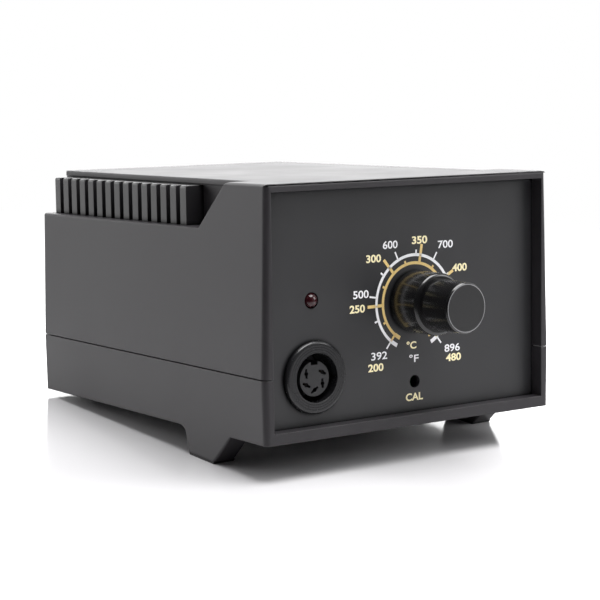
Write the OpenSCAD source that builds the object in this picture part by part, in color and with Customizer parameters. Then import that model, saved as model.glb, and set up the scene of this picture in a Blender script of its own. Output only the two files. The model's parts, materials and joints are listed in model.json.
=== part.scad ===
// Soldering iron station: a mains transformer and a temperature control in a two-part plastic case
// that leans back on its front feet. X runs to the right, Y to the rear and Z up; the origin lies on
// the surface that the station stands on, under the middle of the whole station.

/* [Case] */
// Width of the case at the joint between its two shells
case_w = 121.5; // [116:0.5:130]
// How far each side leans in from the joint up to the top
top_lean = 1.6; // [1:0.1:2.2]
// How far each side leans in from the joint down to the underside
base_lean = 0.3; // [0.1:0.1:0.8]
// Depth of the case from its front rim to its rear rim
case_d = 150.5; // [146:0.5:160]
// Height of the case
case_h = 83.1; // [82:0.1:90]
// Height of the joint between the two shells above the underside
joint_h = 21.2; // [18:0.1:25]
// Width of the groove that shows between the two shells
joint_gap = 0.4; // [0.2:0.1:0.6]
// Thickness of the side walls
wall_t = 2.8; // [2.4:0.1:3.2]
// Thickness of the top and of the ledge beside it
top_t = 1.9; // [1.6:0.1:2.4]
// Thickness of the floor
floor_t = 3; // [2.6:0.1:3.4]
// Rounding of the upright edges
edge_r = 2; // [0.6:0.1:2.2]
// Bevel along the edges of the top
edge_bevel = 0.8; // [0.4:0.1:1.2]
// Bevel along the edges of the underside
base_bevel = 0.3; // [0.2:0.1:0.8]
// Thickness of the tongue that the lower shell fits inside the upper one
tongue_t = 1.1; // [0.8:0.1:1.3]
// Height of the tongue above the joint
tongue_h = 1.8; // [1.2:0.1:2.5]
// Play around the tongue
tongue_play = 0.15; // [0.1:0.05:0.2]

/* [Stand] */
// Angle at which the case leans back, in degrees
tilt = 4; // [3:0.5:5]
// Height of the front feet below the case, at their front
foot_h = 10.4; // [9.5:0.1:12]
// Distance of the front feet's front edge from the front rim
foot_y = 31.8; // [28:0.2:36]
// Length of the front feet along the floor
foot_l = 13.8; // [11:0.2:16]
// Width of each front foot
foot_w = 8.2; // [6:0.2:10]
// How far the slanted front of each foot runs forward as it rises
foot_slant = 11.3; // [9:0.1:13]
// How far the steep back of each foot leans as it rises
foot_back = 2.4; // [1:0.1:3]
// Radius of the hollow where the back of each foot meets the case
foot_fillet_r = 3.6; // [2.5:0.1:4.5]
// Thickness of the rubber pads and of the rear feet's part below the case's own feet
pad_t = 0.9; // [0.6:0.1:1.4]
// Radius of the rear feet
rear_foot_r = 5.5; // [4:0.1:7]
// Distance of the rear feet's middle from the rear rim
rear_foot_in = 13; // [12:0.5:18]
// Depth of the seats that the rear feet sit in
rear_seat = 0.6; // [0.4:0.1:1]

/* [Panels] */
// How deep each panel sits behind its rim
panel_recess = 4.8; // [4.4:0.1:6]
// Thickness of the front and the rear panel
panel_t = 2; // [1.6:0.1:2.4]
// Play of a panel in its groove
panel_play = 0.15; // [0.1:0.05:0.2]
// How far the panels reach behind the rims
panel_hold = 0.5; // [0.3:0.05:0.5]
// Width of the rim beside a panel, across the top of the case
rim_side = 2.1; // [1.6:0.1:2.2]
// Height of the rims above the floor and below the top
rim_lip = 0.7; // [0.7:0.1:1.2]
// Thickness and reach of the stops behind the panels
stop_t = 2; // [1.5:0.1:2.5]
// Distance of the stops from the middle of the case
stop_x = 28; // [24:1:32]

/* [Side vents] */
// Height of the recess, from its ledge up to the top
recess_h = 15.7; // [13:0.1:19]
// How far the upright wall behind the fins stands in from the top's own side
recess_in = 10.4; // [9.6:0.1:12]
// How far the top reaches over the recess
top_reach = 1.2; // [0.8:0.1:1.6]
// Rounding of the top's rear corners
top_corner_r = 2.4; // [1.5:0.1:3]
// Distance of the recess's slanted front from the front rim, at the ledge
recess_y = 39.2; // [34:0.1:40]
// How far the recess's slanted front runs forward up to the top
recess_slant = 16.2; // [12:0.1:18]
// Distance of the first fin from the front rim
fin_y = 52.6; // [50:0.1:56]
// Distance of the last fin from the rear rim, at least
fin_end = 1; // [0.8:0.1:3]
// Thickness of each fin
fin_t = 4; // [3.4:0.1:4.4]
// Distance from one fin to the next
fin_pitch = 6.45; // [6.1:0.05:6.5]
// How far the fins stand out from the recess's wall
fin_reach = 7; // [5:0.1:8]
// Gap between the fins and the top
fin_gap = 0.4; // [0.3:0.1:0.8]
// Rounding of the fins' upper corners
fin_round = 0.9; // [0.5:0.1:1.5]
// Margin of the air slots from the ledge and the top
slot_margin = 1.8; // [1:0.1:3]
// Thickness of the plate that carries the fins
grille_t = 1.2; // [0.8:0.1:2]
// Wall left between the air window and the rear panel's groove
window_end = 1.6; // [1.2:0.1:3]

/* [Fasteners] */
// Distance of the case screws from the middle of the case
case_screw_x = 52; // [51.5:0.1:52.4]
// Distance of the case screws from the front and the rear rim
case_screw_in = 14.5; // [14:0.5:17]
// Radius of a case screw's shank
case_screw_r = 1.5; // [1.2:0.1:1.7]
// Length of a case screw's shank
case_screw_l = 20; // [16:1:26]
// Radius of a case screw's head
case_head_r = 2.9; // [2.6:0.1:3.2]
// Radius of the lower shell's screw bosses
boss_r = 4.2; // [4:0.1:4.3]
// Radius of the upper cover's pillars
pillar_r = 3.6; // [3.2:0.1:4]
// Depth of the case screws' heads below the underside
screw_sink = 11; // [8:0.5:13]
// Clearance around screws in their holes
screw_play = 0.05; // [0.03:0.01:0.1]
// Height of the pan heads
head_t = 1.8; // [1.4:0.1:2.2]

/* [Knob] */
// Distance of the dial to the right of the case's middle
dial_x = 3.7; // [0:0.1:8]
// Height of the dial above the underside
dial_z = 41.2; // [39:0.1:44]
// Radius of the knob's base
knob_r = 10.45; // [9.5:0.05:11.5]
// Distance of the knob's shoulder in front of the panel
knob_shoulder_h = 13.8; // [13:0.1:16]
// Rounding of the shoulder
knob_round = 1.2; // [0.6:0.1:1.5]
// Radius of the grip where it leaves the shoulder
knob_grip_r = 8.6; // [8:0.05:9]
// Radius of the grip at the knob's face
knob_face_r = 8.4; // [7.6:0.05:8.5]
// Distance of the knob's face in front of the panel
knob_end_h = 27.2; // [25:0.1:30]
// Bevel around the knob's face
knob_bevel = 0.5; // [0.3:0.1:1]
// Gap between the knob and the panel
knob_gap = 0.8; // [0.5:0.1:1.5]
// Radius of the hollow under the knob
knob_hollow_r = 8.2; // [7.4:0.1:8.4]
// Depth of that hollow in front of the panel
knob_hollow_h = 6.2; // [6:0.1:7]
// Width of the pointer line's groove
pointer_w = 0.9; // [0.6:0.1:1.4]
// Depth of the pointer line's groove
pointer_cut = 0.35; // [0.2:0.05:0.6]
// Direction of the pointer, counted from the right towards the top, in degrees
pointer_angle = -1.4; // [-10:0.1:10]
// Radius of the grub screw
grub_r = 1.5; // [1.2:0.1:1.6]
// Distance of the grub screw in front of the panel
grub_h = 9.6; // [9:0.1:10.5]
// Length of the grub screw
grub_l = 6; // [5:0.2:7]

/* [Potentiometer] */
// Radius of the shaft
shaft_r = 3; // [2.5:0.05:3.1]
// Length of the shaft in front of the panel
shaft_out = 19; // [17:0.5:21]
// Depth of the flat on the shaft
shaft_flat = 1.4; // [1:0.1:1.6]
// Running clearance of the shaft in its bush
shaft_play = 0.05; // [0.03:0.01:0.08]
// Outer radius of the threaded bush
bush_r = 3.8; // [3.6:0.05:4]
// Length of the bush in front of the panel
bush_out = 5.2; // [4.6:0.1:5.5]
// Radius of the can
can_r = 8.2; // [7.6:0.1:9]
// Depth of the can behind the panel
can_d = 8.5; // [7.5:0.1:9.5]
// Thickness of the can's metal
can_t = 0.8; // [0.6:0.1:1.2]
// Thickness of the track wafer
wafer_t = 1.2; // [0.8:0.1:1.6]
// Width of the nut across its flats
pot_nut_af = 11; // [10.5:0.1:12]
// Thickness of the nut
pot_nut_t = 2; // [1.6:0.1:2.4]
// Thickness of the washer
pot_washer_t = 0.6; // [0.4:0.1:0.8]

/* [Lamp] */
// Distance of the lamp to the left of the case's middle
lamp_x = 38.6; // [36:0.1:40]
// Height of the lamp above the underside
lamp_z = 44.7; // [42:0.1:48]
// Radius of the lamp
lamp_r = 2.5; // [2:0.05:2.6]
// How far the lamp's dome stands out of the panel
lamp_out = 1.4; // [0.8:0.1:2.2]
// Length of the lamp with its rim
lamp_l = 8.6; // [7.6:0.1:9]
// Width of the lamp's rim
lamp_rim = 0.4; // [0.3:0.05:0.6]
// Clearance around the lamp in the panel
lamp_play = 0.2; // [0.1:0.05:0.3]

/* [Calibration] */
// Distance of the calibration hole to the right of the case's middle
cal_x = 3.8; // [0:0.1:8]
// Height of the calibration hole above the underside
cal_z = 13.9; // [13:0.1:16]
// Radius of the calibration hole
cal_r = 2.15; // [1.8:0.05:2.5]
// Width of the trimmer's body
trimmer_w = 9.5; // [8:0.1:10]
// Thickness of the trimmer's body
trimmer_t = 4.8; // [4:0.1:6]
// Radius of the trimmer's rotor
rotor_r = 2.6; // [2.2:0.1:3]
// How far the rotor stands out of the trimmer
rotor_out = 0.8; // [0.4:0.1:1.2]

/* [Iron socket] */
// Distance of the socket to the left of the case's middle
socket_x = 38.1; // [36:0.1:40]
// Height of the socket above the underside
socket_z = 19.6; // [18.5:0.1:22]
// Radius of the socket's flange
flange_r = 12; // [11.4:0.1:13]
// Thickness of the flange in front of the panel
flange_t = 2; // [1.4:0.1:2.6]
// Rounding of the flange's edge
flange_round = 1.1; // [0.5:0.1:1.3]
// Radius of the threaded barrel
barrel_r = 9.6; // [9.3:0.05:10]
// Inner radius of the shell
shell_r = 8.1; // [7.8:0.05:8.4]
// Radius of the core that the plug fits over
core_r = 5.8; // [5.6:0.05:6.2]
// How deep the plug goes in behind the panel's face
plug_d = 9; // [8:0.1:10]
// Thickness of the core's base
core_base_t = 4; // [3:0.1:5]
// Radius of the circle of contacts
contact_pcd_r = 3.7; // [3.5:0.05:3.9]
// Radius of a contact
contact_r = 0.7; // [0.6:0.05:0.8]
// How far the core hangs below the shell's middle, in its play
core_drop = 0.4; // [0:0.1:0.6]
// How far the core stands out of the panel's face
core_out = 0.4; // [0.2:0.1:0.8]
// Width of the key notch
key_w = 2.6; // [1.4:0.1:3]
// Depth of the key notch
key_d = 1.3; // [0.8:0.1:1.4]
// Length of the contacts' tails behind the core
tail_l = 4; // [3:0.1:6]
// Width of the socket's nut across its flats
socket_nut_af = 24; // [22.5:0.5:25]
// Thickness of the socket's nut
socket_nut_t = 2.4; // [2:0.1:3]

/* [Control board] */
// Distance of the board behind the front panel
board_gap = 12.2; // [12:0.1:13]
// Thickness of the board
board_t = 1.6; // [1:0.1:2]
// Distance of the board's right edge from the dial
board_right = 42; // [41:0.5:43]
// Distance of the board's lower part's left edge from the dial
board_left = 25; // [24:0.5:26]
// Distance of the board's upper part's left edge from the dial
board_arm = 51; // [50:0.5:52]
// Height of the board's lower edge
board_z0 = 7.5; // [7:0.1:8]
// Distance of the board's upper edge below the top of the case
board_drop = 7.1; // [6.2:0.1:9]
// Distance between the socket's nut and the board's arm above it
board_arm_gap = 1.5; // [1:0.1:3]
// Inset of the board's screws from its edges
board_screw_in = 4.5; // [4:0.1:5]
// Radius of the posts that hold the board
post_r = 3; // [2.6:0.1:3.4]
// Radius of the board's screws
board_screw_r = 1.25; // [1:0.05:1.4]

/* [Parts on the board] */
// Distance of the chips below the board's upper edge
chip_drop = 14; // [13:0.5:15]
// Width of a chip's body
chip_w = 6.4; // [6:0.1:6.6]
// Height of a chip above the board
chip_h = 4; // [3.6:0.1:4.4]
// Pitch of the legs of chips and triac
leg_pitch = 2.54; // [2.5:0.01:2.6]
// Height of the two tall capacitors above the board's lower edge
cap_rise = 35.5; // [35:0.5:37]
// Radius of the largest capacitor
cap_1_r = 6.3; // [5.5:0.1:6.5]
// Height of the largest capacitor
cap_1_h = 24; // [20:1:25]
// Radius of the middle capacitor
cap_2_r = 5; // [4:0.1:5]
// Height of the middle capacitor
cap_2_h = 18; // [14:1:20]
// Radius of the smallest capacitor
cap_3_r = 4; // [3:0.1:4.2]
// Height of the smallest capacitor
cap_3_h = 12; // [10:1:14]
// Length of the film capacitor
film_l = 18; // [15:0.5:18]
// Thickness of the film capacitor
film_t = 6.4; // [5:0.1:7]
// Height of the film capacitor
film_h = 11; // [9:0.5:12]
// Height of the film capacitor's middle above the board's lower edge
film_rise = 22.5; // [21:0.5:23]
// Length of a resistor's body
resistor_l = 6.4; // [5.5:0.1:7]
// Radius of a resistor's body
resistor_r = 1.2; // [0.9:0.05:1.3]
// Distance of a resistor's leads from its middle
resistor_lead = 5; // [4.5:0.1:5.2]
// Distance from one resistor to the next
resistor_pitch = 4; // [3.5:0.1:4.2]
// Distance of the triac and its heat sink below the board's upper edge
sink_drop = 18; // [17:0.5:19]
// Width of the heat sink
sink_w = 18; // [16:0.5:18]
// Height of the heat sink
sink_h = 24; // [22:1:26]
// Thickness of the heat sink's plate
sink_t = 1.6; // [1.2:0.1:1.8]
// Length of the heat sink's fins
sink_fin = 7.4; // [5:0.1:8]
// Width of the triac
triac_w = 10; // [9:0.1:10.5]
// Thickness of the triac's body
triac_t = 4.5; // [4:0.1:4.8]
// Height of the triac's legs
triac_leg = 4; // [3:0.1:5]
// Height of the triac's body
triac_body_h = 9; // [8:0.1:9.5]
// Height of the triac's tab above its body
triac_tab_h = 7; // [6:0.1:7.5]
// Height of the header for the socket's wires
socket_header_h = 7; // [6:0.5:8]
// Height of the header for the transformer's wires
power_header_h = 10; // [8:0.5:11]

/* [Transformer] */
// Distance of the transformer to the right of the case's middle
trafo_x = 6; // [4:0.5:7]
// How far it stands behind the middle between the board and the rear rim
trafo_back = 1.2; // [-1:0.1:3]
// Width of the core
core_w = 66; // [60:1:68]
// Height of the core
core_h = 55; // [52:1:56]
// Thickness of the stack of laminations
stack_t = 34; // [30:1:36]
// Width of the core's middle limb
limb_w = 22; // [20:1:24]
// Thickness of the bracket's sheet
bracket_t = 1.2; // [1:0.1:1.5]
// Length of the bracket's feet
bracket_foot = 11; // [10:0.5:12]
// Height of the bosses under the bracket
trafo_boss_h = 4; // [3:0.1:5]
// Radius of the transformer's screws
trafo_screw_r = 2; // [1.7:0.1:2.2]
// Length of the transformer's screws
trafo_screw_l = 5.8; // [5:0.1:6]
// Thickness of the bobbin's plastic
bobbin_t = 1; // [0.8:0.1:1.2]

/* [Power switch] */
// Distance of the switch's middle behind the front rim
switch_y = 34; // [32:0.5:36]
// Height of the switch's middle
switch_z = 44; // [42:0.5:48]
// Width of the switch's frame
switch_w = 15; // [14.4:0.1:16]
// Height of the switch's frame
switch_h = 21; // [20.6:0.1:22]
// Thickness of the frame outside the wall
switch_rim = 1.2; // [0.8:0.1:1.4]
// Depth of the switch's body inside the wall
switch_d = 13; // [12.5:0.1:14]
// Angle through which the rocker tips, in degrees
rocker_swing = 20; // [16:1:22]
// Radius of the rocker's rounded ends
rocker_r = 7.9; // [7.4:0.1:8]
// Width of the rocker
rocker_w = 9.8; // [9:0.1:10]
// Gap around the rocker
rocker_play = 0.3; // [0.2:0.05:0.4]
// Radius of the rocker's pivot pins
pivot_r = 0.9; // [0.7:0.05:1]

/* [Mains inlet] */
// Distance of the inlet to the left of the case's middle
inlet_x = 26; // [24:0.5:28]
// Height of the inlet's middle
inlet_z = 31; // [30:0.5:36]
// Width of the inlet's flange
inlet_w = 50; // [48:0.5:52]
// Height of the inlet's flange
inlet_h = 33; // [32.6:0.1:36]
// Thickness of the inlet's flange
inlet_flange_t = 2.4; // [2:0.1:2.6]
// Distance between the inlet's two screws
inlet_screws = 40; // [38:0.5:41]
// Width of the inlet's body
inlet_body_w = 28.6; // [27.6:0.1:30]
// Height of the inlet's body
inlet_body_h = 30; // [29.8:0.1:30.6]
// Depth of the inlet's body behind the panel's face
inlet_d = 18; // [17:0.1:20]
// Width of the cavity for the plug
plug_w = 24.5; // [24:0.1:25]
// Height of the cavity for the plug
plug_h = 16.5; // [16:0.1:17]
// Distance of that cavity below the inlet's middle
plug_drop = 5.2; // [5.2:0.1:5.4]
// Distance of the fuse drawer above the inlet's middle
drawer_rise = 8.7; // [8.6:0.1:9]
// Width of the fuse drawer
drawer_w = 22.4; // [21.8:0.1:22.8]
// Height of the fuse drawer
drawer_h = 6.2; // [6:0.1:6.4]
// Depth of the fuse drawer
drawer_d = 13.4; // [11:0.1:14]
// Clearance around the fuse drawer
drawer_play = 0.35; // [0.3:0.05:0.45]
// Radius of the fuse's caps
fuse_r = 2.55; // [2.4:0.05:2.6]
// Length of the fuse
fuse_l = 20; // [19:0.1:20.2]
// Radius of the inlet's screws
inlet_screw_r = 1.5; // [1.3:0.05:1.6]
// Width of the inlet's nuts across their flats
inlet_nut_af = 5.5; // [5:0.1:6]
// Thickness of the inlet's nuts
inlet_nut_t = 2.4; // [2:0.1:2.8]

/* [Hidden] */
$fn = 64;
// Amount by which a cut runs past the face that it opens
past = 1;

// Colours
abs_black = "#48474a";
panel_black = "#3a3a3c";
knob_black = "#161617";
rubber_black = "#1c1c1d";
zinc_grey = "#3c3c3e";
steel = "#b9bbbd";
brass = "#b8963f";
board_green = "#2f6b3c";
copper = "#a35a2c";
core_steel = "#5d5e60";
bobbin_white = "#d9d5c8";
lamp_red = "#4a1016";

// Half widths of the case at its levels
joint_half = case_w / 2;
top_half = joint_half - top_lean;
base_half = joint_half - base_lean;
function half_at(z) = z < joint_h
    ? base_half + base_lean * z / joint_h
    : joint_half - top_lean * (z - joint_h) / (case_h - joint_h);
top_angle = atan(top_lean / (case_h - joint_h));
base_angle = atan(base_lean / joint_h);

// Panels and their openings
panel_y = panel_recess;
panel_back = panel_y + panel_t;
groove_end = panel_back + panel_play;
open_half = top_half - rim_side;
open_z0 = floor_t + rim_lip;
open_z1 = case_h - top_t - rim_lip;
rear_y = case_d - panel_recess;
recess_half = top_half - recess_in;
fin_n = 1 + floor((case_d - fin_end - fin_t - fin_y) / fin_pitch + 0.001);
rear_open_half = recess_half - rim_side;
ledge_h = case_h - recess_h;
rear_open_z = ledge_h - top_t - rim_lip;

// The stand
lift = foot_h * cos(tilt) + foot_y * sin(tilt);
knob_front = (knob_end_h - panel_recess) * cos(tilt) - (dial_z - knob_face_r + knob_bevel) * sin(tilt);
case_rear = case_d * cos(tilt) + (case_h - edge_bevel) * sin(tilt);
mid_y = (case_rear - knob_front) / 2;

// Where the board lies
board_y = panel_back + board_gap;
board_back = board_y + board_t;
board_h = board_gap + panel_t;
board_z1 = case_h - board_drop;
board_arm_z = socket_z + socket_nut_af / sqrt(3) + board_arm_gap;
board_screws = [
    [dial_x + board_right - board_screw_in, board_z0 + board_screw_in],
    [dial_x + board_right - board_screw_in, board_z1 - board_screw_in],
    [dial_x - board_arm + board_screw_in, board_z1 - board_screw_in],
    [dial_x - board_left + board_screw_in, board_z0 + board_screw_in]
];

// Places of the headers on the board
socket_header = [dial_x - 10.1, board_z0 + 5.5];
power_header = [dial_x + 19.9, board_z0 + 8.5];
power_pin = 3;
header_l = 14;

// Transformer
trafo_y = (board_back + case_d) / 2 + trafo_back;
trafo_z = floor_t + trafo_boss_h;
window_w = (core_w - 2 * limb_w) / 2;
window_h = core_h - limb_w;
bracket_half = core_w / 2 + bracket_t;
trafo_screw_x = bracket_half + bracket_foot - 5;
bobbin_gap = 0.2;
coil_half_x = limb_w / 2 + window_w - bobbin_gap;
coil_half_y = stack_t / 2 + window_w - bobbin_gap;
coil_z0 = trafo_z + limb_w / 2 + bobbin_gap;
coil_h = window_h - 2 * bobbin_gap;
trafo_head_r = 3.6;
tag_t = 0.8;
trafo_tag_x = 8;
trafo_tag_l = 5.1;
ring_tag_l = 9;

// Switch
rocker_pivot = -1.4;
rocker_back = 6;
rocker_crest = 1.4;
switch_tag_l = 7;
switch_tag_z = 5;
switch_body_w = rocker_w + 2 * rocker_play + 2.4;
switch_body_h = 2 * (rocker_r + rocker_play) + 2.4;
cutout_play = 0.1;

// Inlet
drawer_out = 0.3;
drawer_plate_t = 1.5;
blade_depth = 15.2;
blade_t = 2;
blade_w = 4;
blade_tag_l = 8;
fuse_in = 8;
cap_l = 5;
inlet_screw_l = 9;
inlet_head_r = 2.7;

// Contacts of the iron socket, as angles from the right
contact_angles = [30, 150, 210, 270, 330];
contact_slit_turn = 33;
slit_w = 0.8;
slit_l = 3.2;
slit_d = 1.6;

// Wires
wire_sides = 8;
wire_steps = 3;
mains_wire_r = 1.1;
thin_wire_r = 0.6;

// ---- Places ----

// Leans the case back and stands it on its feet
module on_feet() translate([0, -mid_y, lift]) rotate([-tilt, 0, 0]) children();

// Turns a shape drawn level with the floor into the case's own directions
module from_floor() rotate([tilt, 0, 0]) translate([0, mid_y, -lift]) children();

// Draws a shape of X and Z through the depth of the case
module along_depth(y0, y1) translate([0, y1, 0]) rotate([90, 0, 0]) linear_extrude(y1 - y0) children();

// Draws a shape of Y and Z across the width of the case
module along_width(x0, x1) translate([x0, 0, 0]) rotate([90, 0, 90]) linear_extrude(x1 - x0) children();

// Stands a piece on the front panel's face, with its own Z out of the case
module out_of_front(x, z) translate([x, panel_y, z]) rotate([90, 0, 0]) children();

// Stands a piece on the rear panel's face, with its own Z out of the case
module out_of_rear(x, z) translate([x, rear_y, z]) rotate([90, 0, 180]) children();

// Stands a piece on the board's rear face, with its own Z to the rear
module on_board(x, z) translate([x, board_back, z]) rotate([-90, 0, 0]) children();

// Stands a piece on the right wall, with its own X out of the case
module on_right_wall()
    translate([half_at(switch_z), switch_y, switch_z]) rotate([0, -top_angle, 0]) children();

// Makes a shape and its mirror image on the other side of the case
module both_sides() for (side = [0, 1]) mirror([side, 0, 0]) children();

// Makes a piece at each of the four case screws
module at_case_screws() {
    for (x = [-case_screw_x, case_screw_x], y = [case_screw_in, case_d - case_screw_in])
        translate([x, y, 0]) children();
}

module at_board_screws() for (p = board_screws) out_of_front(p[0], p[1]) children();

module at_trafo_screws() {
    for (x = [-trafo_screw_x, trafo_screw_x]) translate([trafo_x + x, trafo_y, 0]) children();
}

module box(x0, x1, y0, y1, z0, z1) translate([x0, y0, z0]) cube([x1 - x0, y1 - y0, z1 - z0]);

// A rectangle with round corners, about its middle
module round_rect(w, h, r) {
    square([w - 2 * r, h], center = true);
    square([w, h - 2 * r], center = true);
    for (x = [-1, 1], y = [-1, 1]) translate([x * (w / 2 - r), y * (h / 2 - r)]) circle(r);
}

module hex_prism(af, h) cylinder(h = h, r = af / 2 / cos(30), $fn = 6);

// A pan-head screw that hangs from z = 0, with a cross recess in its head
module pan_screw(r, l, head_r) {
    cross_l = head_r * 1.1;
    cross_w = head_r * 0.25;
    cross_d = head_t * 0.6;
    translate([0, 0, -l]) cylinder(r = r, h = l);
    difference() {
        cylinder(r = head_r, h = head_t);
        for (a = [0, 90]) rotate([0, 0, a])
            box(-cross_l / 2, cross_l / 2, -cross_w / 2, cross_w / 2, head_t - cross_d, head_t + past);
    }
}

// ---- Case ----

// Outline of the closed case as seen from the front
module case_outline() {
    polygon([
        [base_half - base_bevel, 0], [base_half, base_bevel], [joint_half, joint_h],
        [top_half, case_h - edge_bevel], [top_half - edge_bevel, case_h],
        [edge_bevel - top_half, case_h], [-top_half, case_h - edge_bevel], [-joint_half, joint_h],
        [-base_half, base_bevel], [base_bevel - base_half, 0]
    ]);
}

// Space inside the walls as seen from the front, without the vent recesses
module cavity_outline() {
    polygon([
        [half_at(floor_t) - wall_t, floor_t], [joint_half - wall_t, joint_h],
        [half_at(case_h - top_t) - wall_t, case_h - top_t],
        [wall_t - half_at(case_h - top_t), case_h - top_t],
        [wall_t - joint_half, joint_h], [wall_t - half_at(floor_t), floor_t]
    ]);
}

// Side view of the vent recess, grown by the walls around it where grow is 1
module recess_side(grow) {
    step = recess_slant / recess_h;
    shift = grow * wall_t * norm([recess_slant, recess_h]) / recess_h;
    z0 = ledge_h - grow * top_t;
    polygon([
        [recess_y - shift + (ledge_h - z0) * step, z0], [case_d + past, z0],
        [case_d + past, case_h + past], [recess_y - shift - (recess_h + past) * step, case_h + past]
    ]);
}

module cavity() {
    difference() {
        along_depth(groove_end, case_d - groove_end) cavity_outline();
        both_sides() along_width(recess_half - wall_t, case_w) recess_side(1);
    }
}

// Material to take off one upright corner, whose edge is the Z axis
module upright_edge(l) {
    difference() {
        box(-edge_r, past, -past, edge_r, -past, l + past);
        translate([-edge_r, edge_r, -2 * past]) cylinder(r = edge_r, h = l + 4 * past);
    }
}

// The four upright edges and the two cross edges of the top
module outer_edges() {
    for (rear = [0, 1]) translate([0, rear * case_d, 0]) mirror([0, rear, 0]) {
        both_sides() translate([joint_half, 0, joint_h]) {
            rotate([0, -top_angle, 0]) upright_edge(case_h - joint_h);
            rotate([0, base_angle, 0]) mirror([0, 0, 1]) upright_edge(joint_h);
        }
        translate([-joint_half, 0, case_h]) rotate([45, 0, 0])
            translate([0, -edge_bevel, -edge_bevel * sqrt(0.5)])
            cube([case_w, 2 * edge_bevel, 2 * edge_bevel]);
    }
}

module case_block(z0, z1) {
    difference() {
        intersection() {
            along_depth(0, case_d) case_outline();
            box(-case_w, case_w, 0, case_d, z0, z1);
        }
        outer_edges();
    }
}

module front_outline(grow) {
    half = open_half + grow;
    z0 = open_z0 - grow;
    z1 = open_z1 + grow;
    polygon([[-half, z0], [half, z0], [half, z1], [-half, z1]]);
}

module rear_outline(grow) {
    half = open_half + grow;
    top = rear_open_half + grow;
    z0 = open_z0 - grow;
    z1 = rear_open_z + grow;
    z2 = open_z1 + grow;
    polygon([[-half, z0], [half, z0], [half, z1], [top, z1], [top, z2], [-top, z2], [-top, z1], [-half, z1]]);
}

// The openings within the rims and the grooves that hold the panels
module panel_ways() {
    grow = panel_hold + panel_play;
    along_depth(-past, panel_y) front_outline(0);
    along_depth(panel_y, groove_end) front_outline(grow);
    along_depth(rear_y, case_d + past) rear_outline(0);
    along_depth(case_d - groove_end, rear_y) rear_outline(grow);
}

// Stops behind the panels, between z0 and z1
module panel_stops(z0, z1) {
    for (x = [-stop_x, stop_x], y = [groove_end, case_d - groove_end - stop_t])
        box(x - stop_t / 2, x + stop_t / 2, y, y + stop_t, z0, z1);
}

module tongue(play) {
    x0 = joint_half - wall_t;
    y0 = groove_end + 2 - play;
    z1 = joint_h + tongue_h + play;
    both_sides() box(x0 - play, x0 + tongue_t + play, y0, case_d - y0, joint_h - 2, z1);
}

// Outline of a fin as seen from the front
module fin_outline() {
    z1 = case_h - top_t - fin_gap;
    x1 = recess_half + fin_reach;
    difference() {
        polygon([[recess_half, ledge_h], [x1, ledge_h], [x1, z1], [recess_half, z1]]);
        difference() {
            translate([x1 - fin_round, z1 - fin_round]) square(fin_round + past);
            translate([x1 - fin_round, z1 - fin_round]) circle(fin_round);
        }
    }
}

// The plates and fins that stand on the ledges, against the walls of the recesses
module vent_grilles() color(abs_black) on_feet() both_sides() {
    z1 = case_h - top_t;
    last_y = fin_y + (fin_n - 1) * fin_pitch;
    difference() {
        box(recess_half, recess_half + grille_t, fin_y, last_y + fin_t, ledge_h, z1 - fin_gap);
        for (i = [0 : fin_n - 2])
            box(recess_half - past, recess_half + grille_t + past, fin_y + i * fin_pitch + fin_t,
                fin_y + (i + 1) * fin_pitch, ledge_h + slot_margin, z1 - slot_margin);
    }
    for (i = [0 : fin_n - 1]) along_depth(fin_y + i * fin_pitch, fin_y + i * fin_pitch + fin_t) fin_outline();
}

// Opening in the wall of the recess, behind the slots between the fins
module air_window()
    box(recess_half - wall_t - past, recess_half + past, fin_y + fin_t, case_d - groove_end - window_end,
        ledge_h + slot_margin, case_h - top_t - slot_margin);

module recess() {
    difference() {
        along_width(recess_half, case_w) recess_side(0);
        box(0, recess_half + top_reach, 0, case_d + past, case_h - top_t, case_h + past);
    }
}

// Rounds the top's rear corner over the recess
module top_rear_corner() {
    x = recess_half + top_reach;
    r = top_corner_r;
    difference() {
        box(x - r, x + past, case_d - r, case_d + past, case_h - top_t - fin_gap / 2, case_h + past);
        translate([x - r, case_d - r, 0]) cylinder(r = r, h = case_h + 2 * past);
    }
}

module upper_cover() color(abs_black) on_feet() {
    z0 = joint_h + joint_gap / 2;
    difference() {
        union() {
            difference() {
                case_block(z0, case_h);
                cavity();
            }
            at_case_screws() translate([0, 0, z0]) cylinder(r = pillar_r, h = case_h - top_t / 2 - z0);
            panel_stops(open_z1 - stop_t, case_h - top_t / 2);
        }
        both_sides() {
            recess();
            air_window();
            top_rear_corner();
        }
        panel_ways();
        tongue(tongue_play);
        at_case_screws() translate([0, 0, -past])
            cylinder(r = case_screw_r + screw_play, h = screw_sink + case_screw_l + 2 * past);
        on_right_wall() translate([-wall_t / 2, 0, 0]) rotate([90, 0, 90])
            linear_extrude(2 * wall_t, center = true)
            square([switch_body_w + 2 * cutout_play, switch_body_h + 2 * cutout_play], center = true);
    }
}

// Side view of a front foot, running on below the floor
module foot_side() {
    deep = foot_h + 3;
    slope = foot_slant / foot_h;
    y0 = foot_y - foot_slant - slope * base_bevel;
    y1 = foot_y + foot_l;
    y2 = y1 + foot_back;
    y3 = y2 + foot_fillet_r;
    difference() {
        polygon([
            [y0, base_bevel], [foot_y + (deep - foot_h) * slope, -deep], [y1 - foot_back * 0.3, -deep],
            [y2, -foot_fillet_r], [y3, -0.001], [y3, base_bevel]
        ]);
        translate([y3, -foot_fillet_r]) circle(foot_fillet_r);
    }
}

module below_floor(h) from_floor() box(-case_w, case_w, -case_d, case_d, -case_d, h);

module foot_block() {
    both_sides() along_width(base_half - foot_w, base_half) foot_side();
}

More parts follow.
